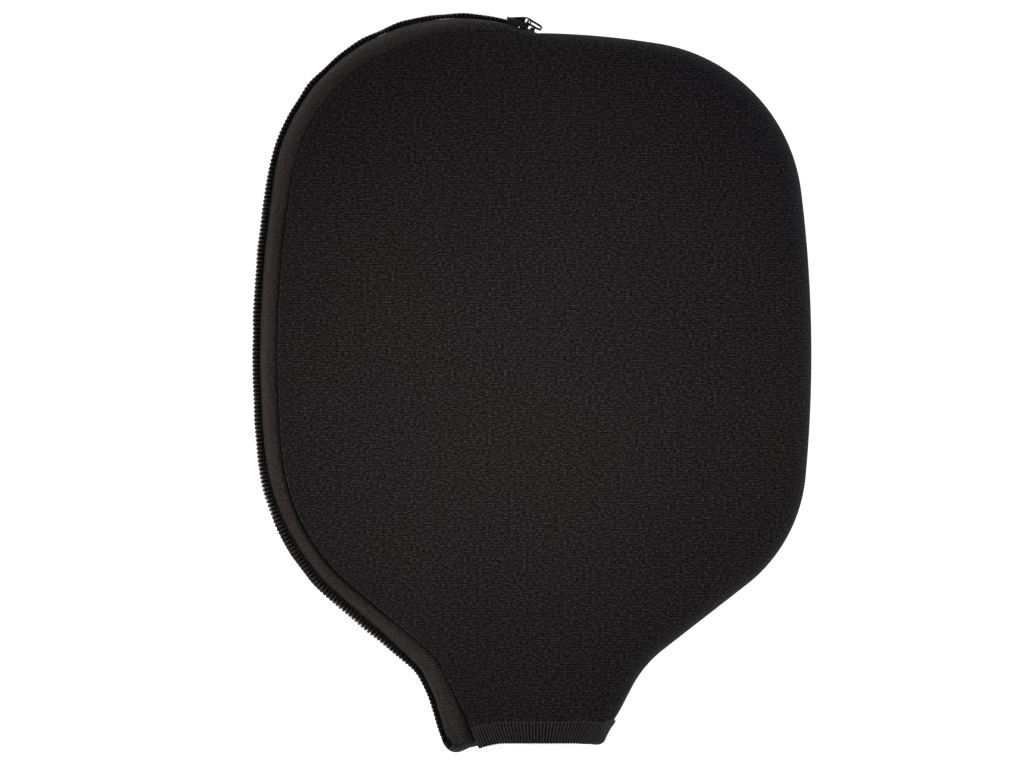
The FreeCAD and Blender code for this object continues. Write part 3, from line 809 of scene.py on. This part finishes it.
# the same distance, and how far the chain wanders in and out
WANDERS = [(0, 0.0), (14, 0.0), (40, 0.22), (106, 0.22), (122, 0.03), (160, 0.07), (360, 0.07), (400, 0.0)]
WANDER_TILT = 9
# the same distance, and how far the chain stands off the rim towards the mouth
FLARE = [(0, 0.0), (366, 0.0), (386, 2.5), (400, 2.8)]


def chain_frames(distances):
    """Origin and axes of the chain: out in plan, off the tape, across, the rim's centre and the tilt."""
    plan = TAPE_LINE.at(distances)
    out = raised(inward_of(TAPE_LINE.heading(distances)), 0)
    sway = np.sin(distances * 2 * np.pi / 23) + 0.6 * np.sin(distances * 2 * np.pi / 13.7 + 1)
    sway *= eased_between(distances, WANDERS)
    tilt = np.radians(eased_between(distances, TURNS) + WANDER_TILT * sway)
    cos, sin = np.cos(tilt)[:, None], np.sin(tilt)[:, None]
    lift = out * cos + UP * sin
    across = UP * cos - out * sin
    reach = (ROUND + COIL_HIGH) * cos + COIL_HALF * sin
    shift = ROUND + RIM_INSET - reach + sway[:, None]
    shift += eased_between(distances, FLARE)[:, None]
    centre = raised(plan, MIDDLE) + out * (shift - ROUND)
    return centre + lift * ROUND, out, lift, across, centre, tilt


CHAIN_FROM = math.radians(COIL_START - TAPE_START) * (CROWN_RADIUS - RIM_INSET)
CHAIN_TO = TAPE_LINE.length - COIL_SHORT


class Tape:
    """The grid of one tape: from beneath the coil, round the rim in a soft ridge, to its sewn edge."""

    def __init__(self, seam, side):
        self.side = side
        self.tree = tree_of(seam)
        body = np.linspace(0, TAPE_LINE.length - CORNER, int(TAPE_LINE.length / TAPE_STEP))
        turn = np.linspace(0, np.pi / 2, CORNER_ROWS + 1)[1:]
        self.distances = np.append(body, TAPE_LINE.length - CORNER * (1 - np.sin(turn)))
        rows = [self.row(distance, *[part[i] for part in chain_frames(self.distances)])
                for i, distance in enumerate(self.distances)]
        self.outer, self.inner, self.cloth = (np.array(grid) for grid in zip(*rows))

    def to_seam(self, centre, out):
        """How far in the sewn edge is, as an angle that runs on flat beyond the rim's round part."""
        edge = centre[:2] + out[:2] * ROUND
        near = np.array(self.tree.find((*edge, 0))[0])
        inset = max(np.dot(edge - near[:2], out[:2]), 2.2)
        if inset > ROUND:
            return math.pi / 2 + (inset - ROUND) / ROUND
        return math.acos(1 - inset / ROUND)

    def row(self, distance, origin, out, lift, across, centre, tilt):
        """Outer points, inner points and cloth places across the tape at a distance along it."""
        side = self.side
        share = np.linspace(0, 1, TAPE_COLUMNS)
        flat = math.atan(TAPE_FLAT / ROUND)
        folded = ease((distance - (TAPE_LINE.length - FOOT_FOLD)) / 0.8)
        edge = TAPE_EDGE * (1 - folded) + FOLD_EDGE * folded
        first = side * tilt + math.atan(edge / ROUND)
        last = max(self.to_seam(centre, out), first + 0.25)
        angle = first + (last - first) * share
        off = angle - side * tilt
        rise = ROUND / np.cos(np.minimum(off, flat)) - ROUND
        beyond = np.clip((off - flat) / max(last - side * tilt - flat, 0.05), 0, 1)
        into = max(CORNER - (TAPE_LINE.length - distance), 0)
        drop = CORNER - math.sqrt(max(CORNER ** 2 - into ** 2, 0))
        lifted = CLOSED_LIFT * eased_between(distance, CLOSED_SHAPE) + FOOT_LIFT * folded
        lifted *= 1 - ease(share * 1.3 - 0.1)
        rough = RIDGE_ROUGH * noise.noise(Vector((distance / 7, 0.3, 3 + side)))
        ridge = RIDGE[side] + rough + RIDGE_WAVE * math.sin(distance / 11.0)
        puff = ridge * np.sin(np.pi * np.minimum(beyond * 1.06, 1))
        dip = TAPE_DIP * np.maximum((beyond - 0.78) / 0.22, 0) ** 1.7
        radius = ROUND + rise * (1 - ease(beyond * 2)) + puff - dip + lifted - drop
        turn = np.minimum(angle, np.pi / 2)
        level = np.maximum(angle - np.pi / 2, 0) * ROUND
        way = out * np.cos(turn)[:, None] + UP * side * np.sin(turn)[:, None]
        face = centre + way * radius[:, None] - out * level[:, None]
        inward = -out * math.sin(turn[-1]) + UP * side * math.cos(turn[-1])
        steps = np.arange(1, ALLOWANCE_COLUMNS + 1)
        sink = way[-1] * np.minimum(steps * 0.75, ALLOWANCE_SINK)[:, None]
        allowance = face[-1] - sink + inward * steps[:, None] * ALLOWANCE_STEP
        outer = np.vstack([face, allowance])
        depth = np.vstack([way, np.repeat(way[-1:], ALLOWANCE_COLUMNS, 0)]) * TAPE_THICK
        run = np.append(angle * ROUND, last * ROUND + steps)
        return outer, outer - depth, np.stack([np.full(len(run), distance), run], -1)


def tape(label, cut, body):
    """One woven tape as a thin closed sheet."""
    vertices, outside, inside, rim = shell(cut.outer, cut.inner)
    size = len(vertices) // 2
    foot = [(a, a + 1, size + a + 1, size + a) for a in range(size - cut.outer.shape[1], size - 1)]
    piece = new_object(label + "_tape", vertices, outside + inside + rim + foot, TAPE)
    flat = cut.cloth.reshape(-1, 2)
    add_uv(piece, np.vstack([flat, flat]))
    settle(piece, [label + "_zip_tape"], body)


def on_chain(distance, across_at, high):
    origin, out, lift, across = chain_frames(np.clip(distance, 0, TAPE_LINE.length))[:4]
    return origin + across * np.reshape(across_at, (-1, 1)) + lift * np.reshape(high, (-1, 1))


def swept_piece(name, meshes, material, node, body):
    """Swept wires or threads as one piece."""
    vertices, faces = joined(meshes)
    settle(new_object(name, vertices, faces, material), [node], body)


COIL_WIRE = 0.37
TURN_POINTS = 20
LOOP_MIDDLE = 0.92
LOOP_HALF = 1.33
LOOP_LIFT = 1.06
LOOP_RISE = 0.66
# the back row's loops lie half a pitch on, between the front row's
ROW_SHIFT = {1: 0.0, -1: 0.5}
CORD_AT = 1.36
CORD_TWIST = 2.6
PLY = 0.24
COIL_YARN = 0.13
COIL_STITCHES = (1.05, 1.95)


def coil(label, side, body, material):
    """One row of the chain: a flattened spiral of nylon, its heads past the middle."""
    turns = int((CHAIN_TO - CHAIN_FROM) / PITCH)
    steps = np.arange(turns * TURN_POINTS) / TURN_POINTS
    turn = steps % 1.0
    advance = np.floor(steps) + ease((turn - 0.5) / 0.5)
    angle = 2 * np.pi * turn - 0.5 * np.pi
    squeeze = np.sign(np.cos(angle)) * np.abs(np.cos(angle)) ** 0.7
    rise = np.sign(np.sin(angle)) * np.abs(np.sin(angle)) ** 0.8
    distances = CHAIN_FROM + (advance + ROW_SHIFT[side]) * PITCH
    path = on_chain(distances, side * (LOOP_MIDDLE - LOOP_HALF * rise), LOOP_LIFT + LOOP_RISE * squeeze)
    swept_piece(label + "_coil", [sweep([path], round_profile(COIL_WIRE, 8))], material,
                label + "_zip_coil", body)


def filler_cord(label, side, body):
    """Two plies twisted together through one row of the coil."""
    distances = np.arange(CHAIN_FROM, CHAIN_TO, 0.35)
    twist = distances * 2 * np.pi / CORD_TWIST
    paths = [on_chain(distances, side * CORD_AT + 0.2 * np.cos(turn), LOOP_LIFT + 0.05 * np.sin(turn))
             for turn in (twist, twist + np.pi)]
    swept_piece(label + "_cord", [yarn(paths, PLY)], THREAD, label + "_coil_cord", body)


def coil_thread(label, side, body):
    """Two lines of stitches over a coil, down between its turns, and one beside it on the tape."""
    distances = np.arange(CHAIN_FROM + 1, CHAIN_TO - 1, PITCH / 8)
    phase = ((distances - CHAIN_FROM) / PITCH - ROW_SHIFT[side]) * 2 * np.pi
    high = 1.6 + 0.3 * np.cos(phase)
    paths = [on_chain(distances, side * np.full(len(distances), at), high) for at in COIL_STITCHES]
    paths.append(on_chain(distances, side * (2.72 + 0.07 * np.cos(phase)), 0.42 + 0.2 * np.cos(phase)))
    swept_piece(label + "_coil_thread", [yarn(paths, COIL_YARN)], COIL_THREAD,
                label + "_coil_stitch", body)


FRONT_TAPE = Tape(FRONT_SEAM, 1)
HALVES = [("front", 1, "bending"), ("back", -1, "case")]
tape("front", FRONT_TAPE, "bending")
tape("back", Tape(BACK_SEAM, -1), "case")
# the back row's coil takes the painted-shade copy of the nylon
for half, nylon in zip(HALVES, (NYLON, SHADED_NYLON)):
    coil(*half, nylon)
for half in HALVES:
    filler_cord(*half)
for half in HALVES:
    coil_thread(*half)


# -------- hem and seam threads

STITCH = 1.12
HEM_THREAD = 0.28
HEM_LOOP = 0.19
HEM_START = 0.7
HEM_SHORT = 1.3
HEM_ROWS = 20
TAIL_POINTS = 46
SEAM_YARN = 0.17
SEAM_BOLD = 0.22
SEAM_TOP = 125
SIDE_YARN = 0.2
OVERLOCK = (2.0, 4.6)
OVERLOCK_STEP = 0.65
STITCH_COLUMN = 4
STITCH_RUN = 2.9
# how deep each point of a shown stitch lies in the cloth
STITCH_SINK = np.array([0.3, 0.0, -0.08, -0.1, -0.08, 0.0, 0.3])
TAPE_STITCHED = (34, 3.5)
TAPE_STITCH_COLUMNS = (14.2, 18.6)


def read_grid(grid, row, column):
    """A point of a grid between its rows and columns."""
    down, over = int(row), int(min(column, grid.shape[1] - 2))
    row_part, part = row - down, column - over
    near, far = grid[down:down + 2, over] * (1 - part) + grid[down:down + 2, over + 1] * part
    return near * (1 - row_part) + far * row_part


def hem_stitch(panel, column, rise):
    """One thread up the outer face, over the edge and up the lining, and the way off the face."""
    out = panel.normal[2, int(column)]
    path = []
    for share, slant, lift in ((1, 0.42, 0.34), (0.86, 0.36, 0.5), (0.5, 0.2, 0.5), (None, 0.05, 0.5)):
        row = 0.6 if share is None else rise * share
        path.append(read_grid(panel.outer, row, column) + np.array([slant * panel.side, 0, 0]) + out * lift)
    bottom = read_grid(panel.outer, 0, column)
    under = read_grid(panel.inner, 0, column)
    path += [bottom + TO_MOUTH * 0.1 + out * 0.15, (bottom + under) / 2 + TO_MOUTH * 0.3,
             under + TO_MOUTH * 0.1 - out * 0.1]
    path += [read_grid(panel.inner, row, column) - out * 0.18 for row in (0.6, rise * 0.5, rise)]
    return path, out


def hem(label, panel):
    """Overlock threads over a panel's edge at the mouth, looped together along their upper ends."""
    last = panel.columns - 2
    reach = reach_along(panel.outer[0, :last + 1])
    places = np.arange(HEM_START, reach[-1] - HEM_SHORT, STITCH)
    columns = np.interp(places, reach, np.arange(last + 1))
    middle = panel.columns // 2
    heights = panel.outer[:HEM_ROWS, middle, 1] - panel.outer[0, middle, 1]
    paths = []
    ends = []
    for index, (place, column) in enumerate(zip(places, columns)):
        uneven = noise.noise(Vector((index * 0.37, 0.2, panel.side)))
        reach_up = HEM_DEPTH + 0.5 + 0.5 * uneven - 1.2 * ease((place - reach[-1] + 6) / 6)
        path, out = hem_stitch(panel, column, np.interp(reach_up, heights, np.arange(HEM_ROWS)))
        paths.append(smooth_path(path, 4))
        ends.append(path[0] + out * 0.14 - TO_MOUTH * 0.3 * (-1) ** index)
    if panel.side > 0:
        paths.append(end_tail(panel, columns[-1]))
    meshes = [yarn(paths, HEM_THREAD), yarn([smooth_path(ends, 4)], HEM_LOOP)]
    swept_piece(label + "_hem", meshes, HEM_YARN, label + "_hem_band", "case")


def end_tail(panel, column):
    """The thread's tail, bunched at the sewn end of the hem."""
    steps = np.arange(TAIL_POINTS)
    turn = steps * 1.15
    x = -3.9 + steps * 0.055 + 0.35 * np.cos(turn * 0.7)
    y = -0.55 * np.sin(np.pi * steps / (TAIL_POINTS - 1)) + 0.5 * np.sin(turn)
    z = 0.45 + 0.3 * np.cos(turn)
    return read_grid(panel.outer, 0.4, column) + np.stack([x, y, z], -1)


def tape_stitches(cut):
    """The overlock stitches that show on the tape over its last stretch to the mouth."""
    places = np.arange(TAPE_LINE.length - TAPE_STITCHED[0], TAPE_LINE.length - TAPE_STITCHED[1], 0.8)
    path = []
    for index, row in enumerate(np.interp(places, cut.distances, np.arange(len(cut.distances)))):
        column = TAPE_STITCH_COLUMNS[index % 2]
        down, over = int(row), int(column)
        corner = cut.outer[down:down + 2, over:over + 2]
        face = np.cross(corner[1, 0] - corner[0, 0], corner[0, 1] - corner[0, 0])
        face *= np.sign(face[2]) / np.linalg.norm(face)
        path.append(read_grid(cut.outer, row, column) + face * 0.3)
    return smooth_path(path, 3)


def inside_overlock(panel, seam):
    """The hidden zigzag along a tape's seam, on the panel's inner face."""
    run = Curve(seam[seam[:, 1] < SEAM_TOP][::-1]).points
    line = Curve(run[run[:, 1] > HEM_LEVEL + HEM_DEPTH])
    places = np.arange(1.0, line.length - 1.0, OVERLOCK_STEP)
    inset = np.where(np.arange(len(places)) % 2 == 0, *OVERLOCK)
    plan = line.at(places) + inward_of(line.heading(places)) * inset[:, None]
    return smooth_path(raised(plan, MIDDLE + panel.side * (MIDDLE - WALL - 0.25)), 2)


def seam_thread(label, panel, seam, body):
    """The overlock thread inside along a tape's seam and, on the front, the stitches that show."""
    paths = [inside_overlock(panel, seam)]
    bold = []
    if panel.side > 0:
        rows = np.arange(12, ROWS - 14)
        normals = panel.normal[rows, STITCH_COLUMN]
        line = panel.outer[rows, STITCH_COLUMN] + normals * 0.02
        reach = reach_along(line)
        for begin in np.arange(1.0, reach[-1] - 3, STITCH_RUN):
            spots = begin + np.linspace(0, 2.0, len(STITCH_SINK))
            sink = read_line(spots, reach, normals) * STITCH_SINK[:, None]
            paths.append(read_line(spots, reach, line) - sink)
        bold = [yarn([tape_stitches(FRONT_TAPE)], SEAM_BOLD)]
    swept_piece(label + "_seam_thread", [yarn(paths, SEAM_YARN)] + bold, HEM_YARN,
                label + "_tape_seam_thread", body)


def side_seam():
    """The overlock thread round the inner edge of the sewn side's allowance."""
    line = Curve(SEWN.points[(SEWN.points[:, 0] > 9) & (SEWN.points[:, 1] > HEM_LEVEL + HEM_DEPTH)])
    places = np.arange(1.0, line.length - 1.0, 0.5)
    swing = places * 2 * np.pi / 2.0
    plan = line.at(places) + inward_of(line.heading(places)) * (LIP + 1.1 + 0.9 * np.cos(swing))[:, None]
    meshes = [yarn([raised(plan, MIDDLE + 2.1 * np.sin(swing))], SIDE_YARN)]
    swept_piece("sewn_seam_thread", meshes, THREAD, "side_seam_thread", "case")


hem("front", FRONT)
hem("back", BACK)
seam_thread("front", FRONT, FRONT_SEAM, "bending")
seam_thread("back", BACK, BACK_SEAM, "case")
side_seam()


# -------- slider, pull and stops

SLIDER_HALF = 4.9
SLIDER_TAIL = 3.5
SLIDER_NOSE = 3.7
PLATE = 0.75
OUTER_GAP = 2.25
INNER_GAP = 1.75
GUIDE = 0.6
BAIL_TOP = 4.92
BAIL_HALF = 0.7
PIVOT = np.array([3.55, 3.92, 0.0])
PULL_WIRE = 0.45
PULL_HALF = 5.0
PULL_LENGTH = 5.8
PULL_NEAR = 0.9
PULL_FAR = 2.1
PULL_REST = math.radians(12)
PULL_ROLL = math.radians(6)
CLIP_THICK = 0.45
TOP_STOP = (5.3, 1.8)
TACK_FROM_END = 2.9
TACK_HIGH = 1.75
TACK_HALF = 4.9
TACK_YARN = 0.26
TACK_POINTS = 120


class Place:
    """A frame on the chain: x along it to the closed end, y off the tape, z across."""

    def __init__(self, origin, along, off, across):
        self.origin = origin
        self.axes = np.array([along, off, across])

    def put(self, points):
        return self.origin + np.array(points, float) @ self.axes


def crown_place(angle):
    """The slider's own frame, at the tilt that the chain has there."""
    out = np.append(polar(angle), 0)
    lift = out * math.cos(SLIDER_TILT) + UP * math.sin(SLIDER_TILT)
    across = UP * math.cos(SLIDER_TILT) - out * math.sin(SLIDER_TILT)
    rim = np.append(CROWN, MIDDLE) + out * (CROWN_RADIUS - RIM_INSET - ROUND)
    return Place(rim + lift * ROUND, np.append(polar(angle - 90), 0), lift, across)


def chain_place(distance):
    """A frame on the visible chain at a distance along it."""
    origin, out, lift, across = (part[0] for part in chain_frames(np.array([distance]))[:4])
    return Place(origin, np.cross(lift, across), lift, across)


SLIDER_PLACE = crown_place(SLIDER_ANGLE)


def block(outline, low, high, upright=False):
    """A prism over an outline in x and z, between two levels of y; upright, its outline is in x and y."""
    count = len(outline)
    vertices = [(x, y, z) for y in (low, high) for x, z in outline]
    if upright:
        vertices = [(x, z, y) for x, y, z in vertices]
    faces = [tuple(range(count)), tuple(count + k for k in reversed(range(count)))]
    faces += [(k, k + count, (k + 1) % count + count, (k + 1) % count) for k in range(count)]
    return vertices, faces


def mirrored(points):
    """An outline from its upper half, listed from the tail to the nose."""
    return points + [(x, -z) for x, z in reversed(points)]


def cast_piece(name, blocks, bevel, node):
    """Several cast blocks of the slider as one piece with softened edges."""
    vertices, faces = joined(blocks)
    piece = new_object(name, SLIDER_PLACE.put(vertices), faces, ENAMEL)
    rework(piece.data, lambda work: bmesh.ops.recalc_face_normals(work, faces=work.faces))
    modify(piece, "BEVEL", width=bevel * MM, segments=4, limit_method="ANGLE", harden_normals=True)
    settle(piece, [node], "slider")


def slider():
    """Two plates joined by the wedge that parts the coils, with guides down both sides."""
    half, tail, nose = SLIDER_HALF, SLIDER_TAIL, SLIDER_NOSE
    plate = mirrored([(-half, tail - 0.9), (-half + 0.5, tail - 0.2), (-half + 1.3, tail), (0.6, tail),
                      (2.4, nose), (half - 1.5, nose), (half - 0.4, nose - 0.9), (half, nose - 2.0)])
    crown = mirrored([(-half + 1.0, 1.2), (-half + 1.7, 1.9), (1.0, 2.3), (half - 1.8, 2.0),
                      (half - 0.9, 1.0)])
    inner = mirrored([(-half, 2.2), (-half + 0.8, 3.0), (half - 0.8, 3.0), (half, 2.2)])
    wedge = mirrored([(1.0, 0.2), (3.0, 0.8), (half - 0.6, 0.8)])
    blocks = [block(plate, OUTER_GAP, OUTER_GAP + PLATE),
              block(crown, OUTER_GAP + 0.3, OUTER_GAP + PLATE + 0.22),
              block(inner, -INNER_GAP - PLATE, -INNER_GAP), block(wedge, -INNER_GAP - 0.2, OUTER_GAP + 0.2)]
    for side in (1, -1):
        near, far = side * (tail - GUIDE), side * (tail - 0.02)
        guide = [(-half + 0.5, near), (0.8, near), (0.8, far), (-half + 0.5, far)]
        blocks.append(block(guide, 0.6, OUTER_GAP + 0.3))
        shoulder = [(0.7, near), (3.9, near + side * 0.1), (3.9, far + side * 0.1), (0.7, far)]
        blocks.append(block(shoulder, 0.95, OUTER_GAP + 0.3))
    cast_piece("slider_casting", blocks, 0.22, "slider_body")


def bail():
    """A cast ramp over the slider, with the window near the nose that the pull hangs in."""
    foot = OUTER_GAP + PLATE
    high = BAIL_TOP + 0.28
    outline = [(-3.4, foot), (2.35, foot), (2.35, BAIL_TOP - 0.27), (4.35, BAIL_TOP - 0.27), (4.35, foot),
               (4.9, foot), (4.9, BAIL_TOP - 0.5), (4.6, high - 0.15), (4.1, high), (2.4, high),
               (1.2, high - 0.22), (-2.6, foot + 0.55), (-3.3, foot + 0.3)]
    cast_piece("slider_arch", [block(outline, -BAIL_HALF, BAIL_HALF, True)], 0.16, "slider_bail")


def bend(x, z, radius, first, steps):
    """A quarter turn of the pull's wire."""
    turn = np.radians(np.linspace(first, first + 90, steps))
    return [(x + radius * math.cos(t), z + radius * math.sin(t)) for t in turn]


def pull():
    """A closed loop of wire, its far corners well rounded."""
    near, far, wide, long = PULL_NEAR, PULL_FAR, PULL_HALF, PULL_LENGTH
    bends = [bend(long - far, far - wide, far, -90, 8), bend(long - far, wide - far, far, 0, 8),
             bend(near, wide - near, near, 90, 6), bend(near, near - wide, near, 180, 6)]
    path = []
    for here, after, count in zip(bends, bends[1:] + bends[:1], (8, 6, 14, 6)):
        path += here + list(np.linspace(here[-1], after[0], count)[1:-1])
    roll = np.array([[1, 0, 0], [0, math.cos(PULL_ROLL), math.sin(PULL_ROLL)],
                     [0, -math.sin(PULL_ROLL), math.cos(PULL_ROLL)]])
    rest = np.array([[math.cos(PULL_REST), -math.sin(PULL_REST), 0],
                     [math.sin(PULL_REST), math.cos(PULL_REST), 0], [0, 0, 1]])
    turned = roll @ rest
    loop = SLIDER_PLACE.put([(x, 0, z) for x, z in path] @ turned + PIVOT)
    flat = turned[1] @ SLIDER_PLACE.axes
    swept_piece("pull_wire", [sweep([loop], round_profile(PULL_WIRE, 14), closed=True, flat_side=flat)],
                ENAMEL, "pull_loop", "pull")


def clip(name, place, ahead, length, near, far, high, node):
    """A strip of metal crimped over the coil's end."""
    middle = ahead + length / 2
    inset = (far - near) * 0.15
    corners = [(0.1, near), (high * 0.75, near), (high, near + inset), (high, far - inset),
               (high * 0.75, far), (0.1, far)]
    path = smooth_path([(middle, y, z) for y, z in corners], 5)
    mesh = sweep([place.put(path)], strip_profile(length, CLIP_THICK), flat_side=place.axes[0])
    swept_piece(name, [mesh], ENAMEL, node, "case")


def end_tack():
    """Zigzag thread across both tapes, over the stop and past the end of the chain."""
    z = np.linspace(-TACK_HALF, TACK_HALF, TACK_POINTS)
    x = np.array([4.0, 1.4, -1.2, 1.4])[np.arange(TACK_POINTS) % 4]
    into = np.maximum(CORNER - TACK_FROM_END - x, 0)
    y = TACK_HIGH - z ** 2 / ROUND * 0.8 - CORNER + np.sqrt(CORNER ** 2 - into ** 2)
    path = chain_place(TAPE_LINE.length - TACK_FROM_END).put(smooth_path(np.stack([x, y, z], -1), 3))
    swept_piece("end_tack", [yarn([path], TACK_YARN)], THREAD, "zip_end_tack", "case")


slider()
bail()
pull()
clip("front_stop", SLIDER_PLACE, *TOP_STOP, 0.4, 2.5, 1.75, "front_top_stop")
clip("back_stop", SLIDER_PLACE, *TOP_STOP, -0.4, -2.5, 1.75, "back_top_stop")
clip("foot_stop", chain_place(TAPE_LINE.length - 4.6), -1.1, 2.2, -2.6, 2.6, 1.6, "bottom_stop")
end_tack()


# -------- floor, light, camera

FLOOR_LEVEL = -0.0008
FLOOR_HALF = 4.0
PICTURE_WIDTH = 0.4055


def stand(name, data, place=(0, 0, 0), target=None):
    """A new object of the scene, turned to look at the target."""
    thing = bpy.data.objects.new(name, data)
    thing.location = place
    if target:
        thing.rotation_euler = (Vector(target) - Vector(place)).to_track_quat("-Z", "Y").to_euler()
    bpy.context.scene.collection.objects.link(thing)
    return thing


def floor():
    mesh = bpy.data.meshes.new("floor")
    signs = ((-1, -1), (1, -1), (1, 1), (-1, 1))
    corners = [(x * FLOOR_HALF, y * FLOOR_HALF, FLOOR_LEVEL) for x, y in signs]
    mesh.from_pydata(corners, [], [(0, 1, 2, 3)])
    graph = Graph("pale_floor")
    graph.set(Base_Color=(0.85, 0.85, 0.85, 1), Roughness=0.95)
    graph.set(Emission_Color=(1, 1, 1, 1), Emission_Strength=0.9)
    mesh.materials.append(graph.material)
    stand("floor", mesh)


def lamp(name, kind, place, target, **values):
    data = bpy.data.lights.new(name, kind)
    assign(data, values)
    stand(name, data, place, target)


def camera():
    """Straight down on the front, from far enough to flatten it."""
    data = bpy.data.cameras.new("camera")
    data.lens = 135
    data.sensor_width = 36
    height = PICTURE_WIDTH * data.lens / data.sensor_width + MIDDLE * MM
    bpy.context.scene.camera = stand("camera", data, (-0.0079, -0.0006, height))


floor()
lamp("key", "SPOT", (-0.6, -0.36, 1.15), (-0.015, -0.012, 0.02), shadow_soft_size=0.12, energy=88,
     color=(1.0, 0.875, 0.82), spot_size=math.radians(13.6), spot_blend=1.0)
lamp("fill", "AREA", (0.9, 0.15, 1.1), (0, 0, 0), size=0.9, energy=5.5, color=(0.69, 0.8, 1.0))
lamp("head", "AREA", (-0.2, 1.1, 1.2), (0, 0, 0), size=0.9, energy=1.5)
world = bpy.data.worlds.new("studio")
world.use_nodes = True
sky = world.node_tree.nodes["Background"].inputs
sky["Color"].default_value = (1, 1, 1, 1)
sky["Strength"].default_value = 0.14
bpy.context.scene.world = world
bpy.context.scene.view_settings.view_transform = "Standard"
camera()
